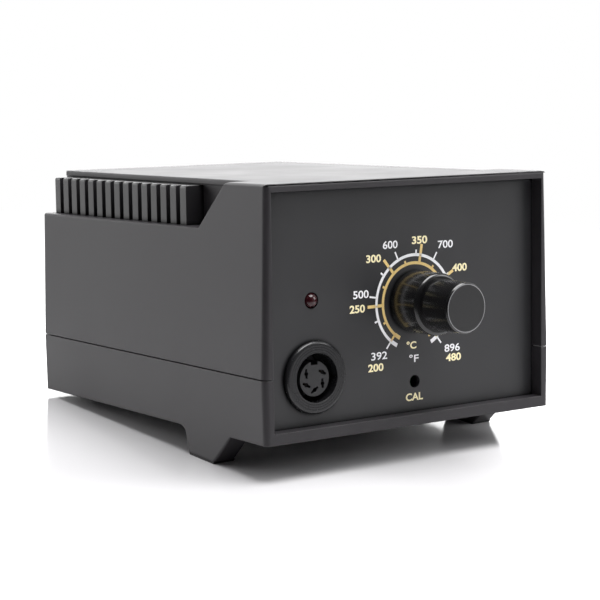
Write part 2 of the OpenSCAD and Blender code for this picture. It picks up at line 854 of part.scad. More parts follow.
module floor_vents() {
    vent_w = 3;
    vent_l = 22;
    vent_pitch = 7;
    vent_shift = vent_l / 2 + 4;
    for (i = [-4 : 4], side = [-1, 1])
        translate([trafo_x + i * vent_pitch, trafo_y + side * vent_shift, floor_t / 2])
        cube([vent_w, vent_l, floor_t + 2 * past], center = true);
}

module at_rear_feet() {
    x = case_screw_x - pillar_r - rear_foot_r - 2;
    for (side = [-1, 1]) translate([side * x, case_d - rear_foot_in, 0]) children();
}

module lower_case() color(abs_black) on_feet() {
    z1 = joint_h - joint_gap / 2;
    difference() {
        union() {
            difference() {
                case_block(0, z1);
                cavity();
            }
            tongue(0);
            at_case_screws() cylinder(r = boss_r, h = z1);
            at_trafo_screws() cylinder(r = 2 * trafo_screw_r + 1, h = trafo_z);
            panel_stops(floor_t / 2, open_z0 + stop_t);
            difference() {
                foot_block();
                below_floor(pad_t);
            }
        }
        panel_ways();
        at_case_screws() {
            translate([0, 0, -past]) cylinder(r = case_head_r + 0.3, h = screw_sink + past);
            cylinder(r = case_screw_r + screw_play, h = joint_h + past);
        }
        at_trafo_screws() translate([0, 0, trafo_z - trafo_screw_l])
            cylinder(r = trafo_screw_r + screw_play, h = trafo_screw_l + past);
        at_rear_feet() translate([0, 0, -past]) cylinder(r = rear_foot_r + 0.1, h = rear_seat + past);
        floor_vents();
    }
}

module front_foot_pads() color(rubber_black) on_feet() difference() {
    foot_block();
    below_floor(0);
    from_floor() box(-case_w, case_w, -case_d, case_d, pad_t, case_h);
}

module rear_feet() color(rubber_black) on_feet() difference() {
    at_rear_feet() translate([0, 0, -foot_h]) cylinder(r = rear_foot_r, h = foot_h + rear_seat);
    below_floor(0);
}

module case_screws() color(steel) on_feet() {
    at_case_screws() translate([0, 0, screw_sink]) mirror([0, 0, 1])
        pan_screw(case_screw_r, case_screw_l, case_head_r);
}

// ---- Panels ----

module front_panel() color(panel_black) on_feet() difference() {
    union() {
        along_depth(panel_y, panel_back) front_outline(panel_hold);
        at_board_screws() translate([0, 0, -board_h]) cylinder(r = post_r, h = board_h - panel_t / 2);
    }
    out_of_front(dial_x, dial_z) translate([0, 0, -panel_t - past])
        cylinder(r = bush_r + screw_play, h = panel_t + 2 * past);
    out_of_front(-lamp_x, lamp_z) translate([0, 0, -panel_t - past])
        cylinder(r = lamp_r + lamp_play, h = panel_t + 2 * past);
    out_of_front(cal_x, cal_z) translate([0, 0, -panel_t - past]) cylinder(r = cal_r, h = panel_t + 2 * past);
    out_of_front(-socket_x, socket_z) translate([0, 0, -panel_t - past])
        cylinder(r = barrel_r + screw_play, h = panel_t + 2 * past);
    at_board_screws() translate([0, 0, -board_h - past])
        cylinder(r = board_screw_r + screw_play, h = board_h - panel_t / 2);
}

module rear_panel() color(panel_black) on_feet() difference() {
    along_depth(rear_y - panel_t, rear_y) rear_outline(panel_hold);
    out_of_rear(-inlet_x, inlet_z) {
        translate([0, 0, -panel_t - past]) linear_extrude(panel_t + 2 * past)
            square([inlet_body_w + 4 * cutout_play, inlet_body_h + 4 * cutout_play], center = true);
        for (s = [-1, 1]) translate([s * inlet_screws / 2, 0, -panel_t - past])
            cylinder(r = inlet_screw_r + screw_play, h = panel_t + 2 * past);
    }
}

// ---- Knob and potentiometer ----

module on_dial() on_feet() out_of_front(dial_x, dial_z) children();

// The part of a round shaft that its flat leaves, turned to the grub screw
module d_shaft(r, h) {
    difference() {
        cylinder(r = r, h = h);
        rotate([0, 0, pointer_angle])
            box(shaft_r - shaft_flat, 2 * shaft_r, -shaft_r, shaft_r, -past, h + past);
    }
}

// Half section of the knob: a round body, a tapered grip on it and a hollow behind
module knob_section() {
    body_h = knob_shoulder_h - knob_gap;
    difference() {
        union() {
            translate([0, knob_gap]) square([knob_r, body_h - knob_round]);
            translate([0, knob_gap]) square([knob_r - knob_round, body_h]);
            intersection() {
                translate([knob_r - knob_round, knob_shoulder_h - knob_round]) circle(knob_round);
                square([knob_r, knob_shoulder_h]);
            }
            polygon([
                [0, knob_shoulder_h - past], [knob_grip_r, knob_shoulder_h - past],
                [knob_face_r, knob_end_h - knob_bevel], [knob_face_r - knob_bevel, knob_end_h],
                [0, knob_end_h]
            ]);
        }
        square([knob_hollow_r, knob_hollow_h]);
    }
}

// Groove of the pointer line, down the knob's side and in over its shoulder
module pointer_groove() {
    half = pointer_w / 2;
    box(knob_r - pointer_cut, knob_r + past, -half, half, grub_h + grub_r + past, knob_end_h);
    box(knob_grip_r + 0.2, knob_r + past, -half, half, knob_shoulder_h - pointer_cut, knob_end_h);
}

module temperature_knob() color(knob_black) on_dial() difference() {
    rotate_extrude() knob_section();
    translate([0, 0, knob_gap - past])
        d_shaft(shaft_r + shaft_play, shaft_out - knob_gap + 2 * past);
    rotate([0, 0, pointer_angle]) {
        translate([0, 0, grub_h]) rotate([0, 90, 0])
            cylinder(r = grub_r + screw_play, h = knob_r + past);
        pointer_groove();
    }
}

module knob_grub_screw() color(steel) on_dial() rotate([0, 0, pointer_angle])
    translate([shaft_r - shaft_flat, 0, grub_h]) rotate([0, 90, 0]) difference() {
        cylinder(r = grub_r, h = grub_l);
        translate([0, 0, grub_l - grub_r]) hex_prism(grub_r, grub_r + past);
    }

module potentiometer_shaft() color(steel) on_dial() {
    back = -panel_t - can_d + wafer_t;
    flat_from = knob_hollow_h - 0.4;
    wiper_t = 1.2;
    translate([0, 0, back]) cylinder(r = shaft_r, h = flat_from - back);
    translate([0, 0, flat_from]) d_shaft(shaft_r, shaft_out - flat_from);
    translate([0, 0, -panel_t - can_t - wiper_t - 0.3])
        cylinder(r = can_r - can_t - 0.8, h = wiper_t);
}

module potentiometer_can() color(core_steel) on_dial() difference() {
    union() {
        translate([0, 0, -panel_t - can_d]) cylinder(r = can_r, h = can_d);
        translate([0, 0, -panel_t]) cylinder(r = bush_r, h = panel_t + bush_out);
    }
    translate([0, 0, -panel_t - can_d - past]) cylinder(r = can_r - can_t, h = can_d - can_t + past);
    translate([0, 0, -panel_t - can_d])
        cylinder(r = shaft_r + shaft_play, h = can_d + panel_t + bush_out + past);
}

module potentiometer_wafer() color("#7a4a22") on_dial() {
    translate([0, 0, -panel_t - can_d - wafer_t]) cylinder(r = can_r, h = wafer_t);
    for (x = [-5, 0, 5]) translate([x, -can_r + 2, -board_h])
        cylinder(r = 0.6, h = board_h - panel_t - can_d - wafer_t / 2);
}

module potentiometer_nut() color(steel) on_dial() difference() {
    translate([0, 0, pot_washer_t]) hex_prism(pot_nut_af, pot_nut_t);
    cylinder(r = bush_r + screw_play, h = pot_nut_t + pot_washer_t + past);
}

module potentiometer_washer() color(steel) on_dial() difference() {
    cylinder(r = pot_nut_af / 2 + 0.6, h = pot_washer_t);
    translate([0, 0, -past]) cylinder(r = bush_r + screw_play, h = pot_washer_t + 2 * past);
}

// ---- Lamp and calibration ----

module on_lamp() on_feet() out_of_front(-lamp_x, lamp_z) children();

lamp_back = lamp_out - lamp_l;

module heater_lamp() color(lamp_red) on_lamp() {
    translate([0, 0, lamp_back]) cylinder(r = lamp_r + lamp_rim, h = 1);
    translate([0, 0, lamp_back]) cylinder(r = lamp_r, h = lamp_l - lamp_r);
    translate([0, 0, lamp_out - lamp_r]) sphere(r = lamp_r);
}

module lamp_spacer() color(rubber_black) on_lamp() difference() {
    translate([0, 0, -board_h]) cylinder(r = lamp_r + lamp_rim, h = board_h + lamp_back);
    translate([0, 0, -board_h - past]) cylinder(r = lamp_r - 0.6, h = board_h + 2 * past);
}

module lamp_leads() color(steel) on_lamp() {
    for (x = [-1, 1]) translate([x * 1.27, 0, -board_h]) cylinder(r = 0.3, h = board_h + lamp_back);
}

module on_cal() on_feet() out_of_front(cal_x, cal_z) children();

module calibration_trimmer() color("#2b4a86") on_cal() difference() {
    translate([0, 0, -board_h]) linear_extrude(trimmer_t) square(trimmer_w, center = true);
    translate([0, 0, -board_h + 1]) cylinder(r = rotor_r + shaft_play, h = trimmer_t);
}

module calibration_rotor() color(bobbin_white) on_cal() {
    top = -board_h + trimmer_t + rotor_out;
    difference() {
        translate([0, 0, -board_h + 1.3]) cylinder(r = rotor_r, h = top + board_h - 1.3);
        box(-rotor_r - past, rotor_r + past, -0.3, 0.3, top - 0.7, top + past);
    }
}

// ---- Iron socket ----

module on_socket() on_feet() out_of_front(-socket_x, socket_z) children();

shell_back = -plug_d - core_base_t;

module iron_socket_shell() color(zinc_grey) on_socket() rotate_extrude() difference() {
    union() {
        translate([0, 0]) square([flange_r, flange_t - flange_round]);
        square([flange_r - flange_round, flange_t]);
        intersection() {
            translate([flange_r - flange_round, flange_t - flange_round]) circle(flange_round);
            square([flange_r, flange_t]);
        }
        translate([0, shell_back]) square([barrel_r, -shell_back + 0.2]);
    }
    translate([-past, shell_back - past]) square([shell_r + past, flange_t - shell_back + 2 * past]);
}

module at_contacts() translate([0, -core_drop, 0])
    for (a = contact_angles) rotate([0, 0, a]) translate([contact_pcd_r, 0, 0]) children();

module iron_socket_core() color(rubber_black) on_socket() difference() {
    union() {
        translate([0, 0, shell_back]) cylinder(r = shell_r - 0.05, h = core_base_t);
        translate([0, -core_drop, shell_back]) cylinder(r = core_r, h = core_out - shell_back);
    }
    translate([0, -core_drop, 0])
        box(-key_w / 2, key_w / 2, core_r - key_d, core_r + past, -plug_d, core_out + past);
    at_contacts() {
        translate([0, 0, shell_back - past])
            cylinder(r = contact_r + screw_play, h = core_out - shell_back + 2 * past);
        rotate([0, 0, contact_slit_turn])
            box(-slit_w / 2, slit_w / 2, -slit_l / 2, slit_l / 2, core_out - slit_d, core_out + past);
    }
}

module iron_socket_contacts() color(brass) on_socket() at_contacts() difference() {
    translate([0, 0, shell_back - tail_l]) cylinder(r = contact_r, h = tail_l - shell_back - 1.4);
    translate([0, 0, -8]) cylinder(r = contact_r - 0.25, h = 8);
}

module iron_socket_nut() color(steel) on_socket() difference() {
    translate([0, 0, -panel_t - socket_nut_t]) hex_prism(socket_nut_af, socket_nut_t);
    translate([0, 0, -panel_t - socket_nut_t - past])
        cylinder(r = barrel_r + screw_play, h = socket_nut_t + 2 * past);
}

// ---- Control board ----

module control_board() color(board_green) on_feet() difference() {
    along_depth(board_y, board_back) polygon([
        [dial_x - board_left, board_z0], [dial_x + board_right, board_z0], [dial_x + board_right, board_z1],
        [dial_x - board_arm, board_z1], [dial_x - board_arm, board_arm_z], [dial_x - board_left, board_arm_z]
    ]);
    at_board_screws() translate([0, 0, -board_h - board_t - past])
        cylinder(r = board_screw_r + screw_play, h = board_t + 2 * past);
}

module board_screws() color(steel) on_feet() {
    at_board_screws() translate([0, 0, -board_h - board_t]) mirror([0, 0, 1])
        pan_screw(board_screw_r, board_gap - 2 + board_t, 2.4);
}

// A chip in two rows of legs
module dip_chip(legs) {
    leg_t = 0.6;
    leg_y = chip_w / 2 + 0.3;
    box(-legs * leg_pitch / 2, legs * leg_pitch / 2, -chip_w / 2, chip_w / 2, leg_t, chip_h);
    for (i = [0 : legs - 1], side = [-1, 1])
        translate([(i - (legs - 1) / 2) * leg_pitch - leg_t / 2, side * leg_y - leg_t / 2, 0])
        cube([leg_t, leg_t, chip_h * 0.6]);
}

module amplifier_chips() color(rubber_black) on_feet() {
    on_board(dial_x - 2, board_z1 - chip_drop) dip_chip(4);
    on_board(dial_x - 20, board_z1 - chip_drop) dip_chip(7);
}

// The triac stands on three legs, with its tab against the heat sink
sink_x = dial_x + 11.7;
tab_t = 1.3;

module triac() color(rubber_black) on_feet() on_board(sink_x - tab_t, board_z1 - sink_drop) {
    body_z = triac_leg + triac_body_h;
    box(tab_t - 0.1 - triac_t - tab_t, 0, -triac_w / 2, triac_w / 2, triac_leg, body_z);
    difference() {
        box(0, tab_t - 0.1, -triac_w / 2, triac_w / 2, triac_leg, body_z + triac_tab_h);
        translate([0, 0, body_z + triac_tab_h / 2]) rotate([0, 90, 0]) cylinder(r = 1.8, h = 4);
    }
    for (y = [-leg_pitch, 0, leg_pitch])
        translate([-triac_t / 2, y, triac_leg / 2 + 0.1]) cube([0.6, 0.8, triac_leg + 0.2], center = true);
}

module triac_heat_sink() color("silver") on_feet() on_board(sink_x, board_z1 - sink_drop) {
    fin_step = (sink_w - 1.2) / 4;
    box(0, sink_t, -sink_w / 2, sink_w / 2, 0, sink_h);
    for (i = [0 : 4]) translate([sink_t - 0.1, i * fin_step - sink_w / 2, 0])
        cube([sink_fin + 0.1, 1.2, sink_h]);
}

module smoothing_capacitors() color("#1f2d4a") on_feet() {
    on_board(dial_x - 18, board_z0 + cap_rise) cylinder(r = cap_1_r, h = cap_1_h);
    on_board(dial_x - 2, board_z0 + cap_rise) cylinder(r = cap_2_r, h = cap_2_h);
    on_board(dial_x - 34, board_z1 - 10) cylinder(r = cap_3_r, h = cap_3_h);
}

module film_capacitor() color("#b5462a") on_feet() on_board(dial_x + 12.5, board_z0 + film_rise)
    box(-film_l / 2, film_l / 2, -film_t / 2, film_t / 2, 0, film_h);

// A resistor that lies just clear of the board on its two bent leads
module resistor() {
    lead_r = 0.3;
    rise = resistor_r + 0.8;
    reach = resistor_lead + lead_r;
    translate([-resistor_l / 2, 0, rise]) rotate([0, 90, 0]) cylinder(r = resistor_r, h = resistor_l);
    translate([-reach, 0, rise]) rotate([0, 90, 0]) cylinder(r = lead_r, h = 2 * reach);
    for (side = [-1, 1]) translate([side * resistor_lead, 0, 0]) cylinder(r = lead_r, h = rise + lead_r);
}

module resistors() color("#c9a97a") on_feet() {
    for (i = [0 : 3]) {
        on_board(dial_x + 28, board_z1 - 34 + i * resistor_pitch) resistor();
        on_board(dial_x - 12, board_z0 + 12.5 + i * resistor_pitch) resistor();
    }
}

module wire_headers() color(bobbin_white) on_feet() {
    on_board(socket_header[0], socket_header[1])
        box(-header_l / 2, header_l / 2, -2.8, 2.8, 0, socket_header_h);
    on_board(power_header[0], power_header[1])
        box(-2 * power_pin, 2 * power_pin, -4, 4, 0, power_header_h);
}

// ---- Transformer ----

module core_outline() {
    difference() {
        translate([-core_w / 2, 0]) square([core_w, core_h]);
        for (x = [-limb_w / 2 - window_w, limb_w / 2]) translate([x, limb_w / 2])
            square([window_w, window_h]);
    }
}

module transformer_core() color(core_steel) on_feet() translate([trafo_x, 0, trafo_z])
    along_depth(trafo_y - stack_t / 2, trafo_y + stack_t / 2) core_outline();

module at_trafo(z) translate([trafo_x, trafo_y, z]) children();

// A square tube about the middle limb
module limb_tube(half_x, half_y, r, h, grow) {
    difference() {
        linear_extrude(h) round_rect(2 * half_x, 2 * half_y, r);
        translate([0, 0, -past]) linear_extrude(h + 2 * past)
            square([limb_w + 2 * grow, stack_t + 2 * grow], center = true);
    }
}

winding_grow = bobbin_gap + bobbin_t;
winding_h = (coil_h - 3 * bobbin_t) / 2;

module transformer_bobbin() color(bobbin_white) on_feet() at_trafo(coil_z0) {
    for (i = [0 : 2]) translate([0, 0, i * (winding_h + bobbin_t)])
        limb_tube(coil_half_x, coil_half_y, 0.8, bobbin_t, bobbin_gap);
    limb_tube(limb_w / 2 + winding_grow, stack_t / 2 + winding_grow, 0.4, coil_h, bobbin_gap);
}

module primary_winding() color(copper) on_feet() at_trafo(coil_z0 + bobbin_t)
    limb_tube(coil_half_x - 1, coil_half_y - 1, 4, winding_h, winding_grow);

module secondary_winding() color(copper) on_feet() at_trafo(coil_z0 + 2 * bobbin_t + winding_h)
    limb_tube(coil_half_x - 1.6, coil_half_y - 1.6, 4, winding_h, winding_grow);

// Solder tags that stand out of the bobbin's flanges, at the rear and at the front
module transformer_tags() color(brass) on_feet() {
    for (x = [-trafo_tag_x, trafo_tag_x]) translate([x, 0, 0]) {
        at_trafo(coil_z0 + bobbin_t) box(-1.5, 1.5, coil_half_y, coil_half_y + trafo_tag_l, -tag_t, 0);
        at_trafo(coil_z0 + coil_h - bobbin_t)
            box(-1.5, 1.5, -coil_half_y - trafo_tag_l, -coil_half_y, 0, tag_t);
    }
}

module transformer_bracket() color(steel) on_feet() at_trafo(trafo_z) {
    half = stack_t / 2 - 3;
    foot_x = bracket_half + bracket_foot;
    difference() {
        union() {
            box(-bracket_half, bracket_half, -half, half, 0, core_h + bracket_t);
            box(-foot_x, foot_x, -half, half, 0, bracket_t);
        }
        box(-core_w / 2, core_w / 2, -stack_t, stack_t, -past, core_h);
        for (x = [-trafo_screw_x, trafo_screw_x]) translate([x, 0, -past])
            cylinder(r = trafo_screw_r + screw_play, h = bracket_t + 2 * past);
    }
}

// The left screw also holds the ring tag of the earth wire
module transformer_screws() color(steel) on_feet() {
    for (side = [-1, 1]) at_trafo(trafo_z + bracket_t + (side < 0 ? tag_t : 0))
        translate([side * trafo_screw_x, 0, 0])
        pan_screw(trafo_screw_r, trafo_screw_l - 0.4 + bracket_t, trafo_head_r);
}

// Ring tag of the earth wire, under the left transformer screw
module earth_ring_tag() color(brass) on_feet()
    at_trafo(trafo_z + bracket_t) translate([-trafo_screw_x, 0, 0]) difference() {
        union() {
            cylinder(r = trafo_head_r + 0.2, h = tag_t);
            box(-ring_tag_l, 0, -1.6, 1.6, 0, tag_t);
        }
        translate([0, 0, -past]) cylinder(r = trafo_screw_r + screw_play, h = tag_t + 2 * past);
    }

// ---- Power switch ----

// The rocker's ends are round about its pivot, and its face is a shallow V
module rocker_outline() {
    d = 2 * rocker_r;
    end_x = rocker_crest + tan(rocker_swing / 2) * d;
    difference() {
        circle(rocker_r);
        translate([-d, -rocker_r - past]) square([d - rocker_back, d + 2 * past]);
        polygon([[rocker_crest, 0], [end_x, d], [3 * rocker_r, 0], [end_x, -d]]);
    }
}

// Draws a shape of X and Z across the switch, about its middle
module across_switch(w) translate([0, w / 2, 0]) rotate([90, 0, 0]) linear_extrude(w) children();

module switch_housing() color(rubber_black) on_feet() on_right_wall() difference() {
    well_y = rocker_w / 2 + rocker_play;
    well_z = rocker_r + rocker_play;
    union() {
        box(0, switch_rim, -switch_w / 2, switch_w / 2, -switch_h / 2, switch_h / 2);
        box(-switch_d, past, -switch_body_w / 2, switch_body_w / 2, -switch_body_h / 2, switch_body_h / 2);
        for (s = [-1, 1]) translate([0, 0, s * switch_body_h / 2])
            box(-wall_t - 3, -wall_t - 0.15, -2.5, 2.5, -0.6, 0.6);
    }
    box(rocker_pivot - rocker_back - 1.5, switch_rim + past, -well_y, well_y, -well_z, well_z);
    translate([rocker_pivot, switch_w, 0]) rotate([90, 0, 0])
        cylinder(r = pivot_r + shaft_play, h = 2 * switch_w);
}

module switch_rocker() color(knob_black) on_feet() on_right_wall()
    translate([rocker_pivot, 0, 0]) rotate([0, rocker_swing / 2, 0]) {
        across_switch(rocker_w) rocker_outline();
        across_switch(switch_body_w - 0.4) circle(pivot_r);
    }

module switch_terminals() color(brass) on_feet() on_right_wall() {
    for (z = [-switch_tag_z, switch_tag_z])
        box(-switch_d - switch_tag_l, -switch_d, -2.4, 2.4, z - tag_t / 2, z + tag_t / 2);
}

// ---- Mains inlet ----

module on_inlet() on_feet() out_of_rear(-inlet_x, inlet_z) children();

// Mouth of the inlet: a rectangle whose two upper corners are cut off
module plug_outline() {
    cut = 4.5;
    translate([0, -plug_drop]) polygon([
        [-plug_w / 2, -plug_h / 2], [plug_w / 2, -plug_h / 2], [plug_w / 2, plug_h / 2 - cut],
        [plug_w / 2 - cut, plug_h / 2], [cut - plug_w / 2, plug_h / 2], [-plug_w / 2, plug_h / 2 - cut]
    ]);
}

// The three blades: two side by side and the earth between them and higher
blades = [[-7, -0.6], [7, -0.6], [0, 3.2]];

module at_blades() for (b = blades) translate([b[0], b[1] - plug_drop, 0]) children();

module inlet_housing() color(rubber_black) on_inlet() difference() {
    union() {
        linear_extrude(inlet_flange_t) round_rect(inlet_w, inlet_h, 3);
        translate([0, 0, -inlet_d]) linear_extrude(inlet_d + past)
            square([inlet_body_w, inlet_body_h], center = true);
    }
    translate([0, 0, -blade_depth]) linear_extrude(blade_depth + inlet_flange_t + past) plug_outline();
    translate([0, drawer_rise, -drawer_d - drawer_play]) linear_extrude(drawer_d + inlet_flange_t + past)
        square([drawer_w + 2 * drawer_play, drawer_h + 2 * drawer_play], center = true);
    at_blades() translate([0, 0, -inlet_d - past]) linear_extrude(inlet_d)
        square([blade_t + 2 * screw_play, blade_w + 2 * screw_play], center = true);
    for (s = [-1, 1]) translate([s * inlet_screws / 2, 0, -past])
        cylinder(r = inlet_screw_r + screw_play, h = inlet_flange_t + 2 * past);
}

module inlet_blades() color(brass) on_inlet() at_blades() {
    box(-blade_t / 2, blade_t / 2, -blade_w / 2, blade_w / 2, -inlet_d - 0.5, 0.6);
    box(-tag_t / 2, tag_t / 2, -2.4, 2.4, -inlet_d - blade_tag_l, -inlet_d - 0.4);
}

// Closes the drawer's shaft; a fingernail catches the notch in its lower edge
module fuse_drawer() color(rubber_black) on_inlet() translate([0, drawer_rise, 0]) difference() {
    plate_z = inlet_flange_t + drawer_out;
    bed_x = fuse_l / 2 + 0.3;
    bed_z = fuse_r + 0.4;
    union() {
        translate([0, 0, -drawer_d]) linear_extrude(drawer_d + plate_z + past)
            square([drawer_w, drawer_h], center = true);
        translate([0, 0, plate_z]) linear_extrude(drawer_plate_t)
            round_rect(drawer_w + 1.6, drawer_h + 1.6, 0.6);
    }
    box(-bed_x, bed_x, -drawer_h / 2 + 0.5, drawer_h, -fuse_in - bed_z, -fuse_in + bed_z);
    box(-6, 6, -drawer_h, -drawer_h / 2 - 0.1, plate_z + 0.5, plate_z + 5);
}

module on_fuse()
    on_inlet() translate([0, drawer_rise - drawer_h / 2 + 0.55 + fuse_r, -fuse_in])
        rotate([0, 90, 0]) children();

module fuse_glass() color("lightcyan") on_fuse() difference() {
    translate([0, 0, -fuse_l / 2 + 0.8]) cylinder(r = fuse_r - 0.3, h = fuse_l - 1.6);
    translate([0, 0, -fuse_l]) cylinder(r = fuse_r - 0.9, h = 2 * fuse_l);
}

module fuse_caps() color(steel) on_fuse() {
    for (s = [0, 1]) mirror([0, 0, s]) difference() {
        translate([0, 0, fuse_l / 2 - cap_l]) cylinder(r = fuse_r, h = cap_l);
        translate([0, 0, fuse_l / 2 - cap_l - past]) cylinder(r = fuse_r - 0.25, h = cap_l + past - 0.75);
    }
    translate([0, 0, -fuse_l / 2 + 0.4]) cylinder(r = 0.2, h = fuse_l - 0.8);
}

module inlet_screws() color(steel) on_inlet() {
    for (s = [-1, 1]) translate([s * inlet_screws / 2, 0, inlet_flange_t])
        pan_screw(inlet_screw_r, inlet_screw_l, inlet_head_r);
}

module inlet_nuts() color(steel) on_inlet() {
    for (s = [-1, 1]) translate([s * inlet_screws / 2, 0, -panel_t - inlet_nut_t]) difference() {
        hex_prism(inlet_nut_af, inlet_nut_t);
        translate([0, 0, -past]) cylinder(r = inlet_screw_r + screw_play, h = inlet_nut_t + 2 * past);
    }
}

// ---- Wires ----

function unit(v) = v / norm(v);

function between(p, i, t) =
    let (a = p[max(i - 1, 0)], b = p[i], c = p[i + 1], d = p[min(i + 2, len(p) - 1)])
    (2 * b + (c - a) * t + (2 * a - 5 * b + 4 * c - d) * t ^ 2 + (3 * b - 3 * c + d - a) * t ^ 3) / 2;

function route(p) = [
    for (i = [0 : len(p) - 2]) for (k = [0 : wire_steps - 1]) between(p, i, k / wire_steps),
    p[len(p) - 1]
];

// A round wire along a smooth path through the points; across is a direction that it never follows
module wire(points, r, across) {
    path = route(points);
    n = wire_sides;
    last = len(path) - 1;
    rings = [
        for (i = [0 : last])
        let (
            ahead = unit(path[min(i + 1, last)] - path[max(i - 1, 0)]),
            side = unit(cross(ahead, across)),
            up = cross(side, ahead)
        )
        for (k = [0 : n - 1]) path[i] + r * (cos(360 * k / n) * side + sin(360 * k / n) * up)
    ];
    sides = [
        for (i = [0 : last - 1], k = [0 : n - 1])
        let (a = i * n + k, b = i * n + (k + 1) % n) each [[a, b, b + n], [a, b + n, a + n]]
    ];
    start = [for (k = [n - 1 : -1 : 0]) k];
    end = [for (k = [0 : n - 1]) last * n + k];
    polyhedron(rings, concat(sides, [start], [end]));
}

// Where wires meet the tags of the inlet, the switch, the transformer and the earth ring,
// in the case's own directions, before it leans back
wire_gap = 0.3;
function inlet_tag(i) = [
    -inlet_x - blades[i][0], rear_y - inlet_d - blade_tag_l - wire_gap, inlet_z - plug_drop + blades[i][1]
];
function switch_tag(side) = [
    half_at(switch_z) - switch_d - switch_tag_l - wire_gap - 0.1, switch_y,
    switch_z + side * switch_tag_z - (switch_d + switch_tag_l) * sin(top_angle)
];
function trafo_tag(x, side) = [
    trafo_x + x, trafo_y + side * (coil_half_y + trafo_tag_l + wire_gap),
    side > 0 ? coil_z0 + bobbin_t - tag_t / 2 : coil_z0 + coil_h - bobbin_t + tag_t / 2
];
function header_pin(side) = [
    power_header[0] + side * power_pin, board_back + power_header_h + wire_gap, power_header[1]
];
ring_tag = [
    trafo_x - trafo_screw_x - ring_tag_l - wire_gap, trafo_y, trafo_z + bracket_t + tag_t / 2
];

// Live, from the inlet to the switch through the room above the transformer
over_z = trafo_z + core_h + bracket_t;
over_h = case_h - top_t - over_z;
live_in = inlet_tag(1);
live_out = switch_tag(1);
live_route = [
    live_in, live_in + [0, -2.9, 1.2], live_in + [0, -6.9, 12.8],
    [-inlet_x - 4, trafo_y + 22, over_z - 5], [trafo_x - 22, trafo_y + 15, over_z + 0.4 * over_h],
    [trafo_x + 2, trafo_y, over_z + 0.55 * over_h], [trafo_x + 20, trafo_y - 24, over_z + 0.3 * over_h],
    live_out + [-4, 10, 5.5], live_out + [-3, 1.5, 0.7], live_out
];
// Switched live, from the switch round the transformer to its rear tag
switched_in = switch_tag(-1);
switched_out = trafo_tag(trafo_tag_x, 1);
switched_route = [
    switched_in, switched_in + [-3, 1.5, -1], switched_in + [1, 12, -12.5],
    [trafo_x + 40, trafo_y - 16, 18], [trafo_x + 40, trafo_y + 14, 16],
    [trafo_x + 32, trafo_y + 31, 17], [trafo_x + 16, trafo_y + 38, 18],
    switched_out + [0.5, 3.8, 0], switched_out
];
// Neutral, from the inlet to the transformer
neutral_in = inlet_tag(0);
neutral_out = trafo_tag(-trafo_tag_x, 1);
neutral_route = [
    neutral_in, neutral_in + [0.25, -2.1, -0.25],
    [-inlet_x + 9, neutral_out[1] - 1.5, neutral_out[2] + 2.2], neutral_out + [-8, 1.8, -0.3],
    neutral_out + [-2, 4.8, -0.2], neutral_out + [0, 2.8, 0], neutral_out
];
// Low voltage, from the transformer's front tags to the board
low_left = trafo_tag(-trafo_tag_x, -1);
low_right = trafo_tag(trafo_tag_x, -1);
low_voltage_routes = [
    [
        low_left, low_left + [0, -3.3, -1.7], low_left + [5, -7.8, -18.2],
        header_pin(-1) + [-7, 7.1, 4], header_pin(-1) + [-0.5, 3.1, 0], header_pin(-1)
    ],
    [
        low_right, low_right + [0, -3.3, -1.7], low_right + [3, -6.8, -18.2],
        header_pin(1) + [-3, 9.1, 5], header_pin(1) + [-0.2, 3.6, 0], header_pin(1)
    ]
];
// Earth, from the inlet to the ring tag
earth_in = inlet_tag(2);
earth_route = [
    earth_in, earth_in + [0, -3.4, -1.6], earth_in + [-7, -8.9, -12],
    ring_tag + [0.5, 16, 1.4], ring_tag + [-3.5, 6, 0.4], ring_tag + [-2.3, 0.6, 0], ring_tag
];
// Contacts of the iron socket in the order of their distance from the board's header
contact_order = [0, 4, 3, 1, 2];
wire_layer = 2;

module mains_wires() color("#5a2f1f") on_feet() {
    for (r = [live_route, switched_route, neutral_route]) wire(r, mains_wire_r, [0.3, 0.2, 0.9]);
}

module low_voltage_wires() color("#b08a1c") on_feet() {
    for (r = low_voltage_routes) wire(r, mains_wire_r, [1, 0.2, 0.1]);
}

// Thin wires from the contacts' tails to their header on the board, each in its own layer behind the board
module iron_socket_wires() color("#a02a2a") on_feet() {
    y0 = panel_y - shell_back + tail_l + wire_gap;
    y1 = board_back + socket_header_h + wire_gap;
    for (k = [0 : 4]) {
        a = contact_angles[contact_order[k]];
        start = [-socket_x + contact_pcd_r * cos(a), y0, socket_z - core_drop + contact_pcd_r * sin(a)];
        end = [socket_header[0] + (k - 2) * wire_layer, y1, socket_header[1]];
        deep = y1 + 3 + k * wire_layer;
        wire([
            start, start + [0, 3, 0], [start[0] + 3, deep, start[2]], [end[0] - 3, deep, end[2]],
            end + [0, 2.5, 0], end
        ], thin_wire_r, [0.1, 0.2, 1]);
    }
}

module earth_wire() color("#5c8a2a") on_feet() wire(earth_route, mains_wire_r, [0.9, 0.4, 0.1]);

// ---- Nodes ----

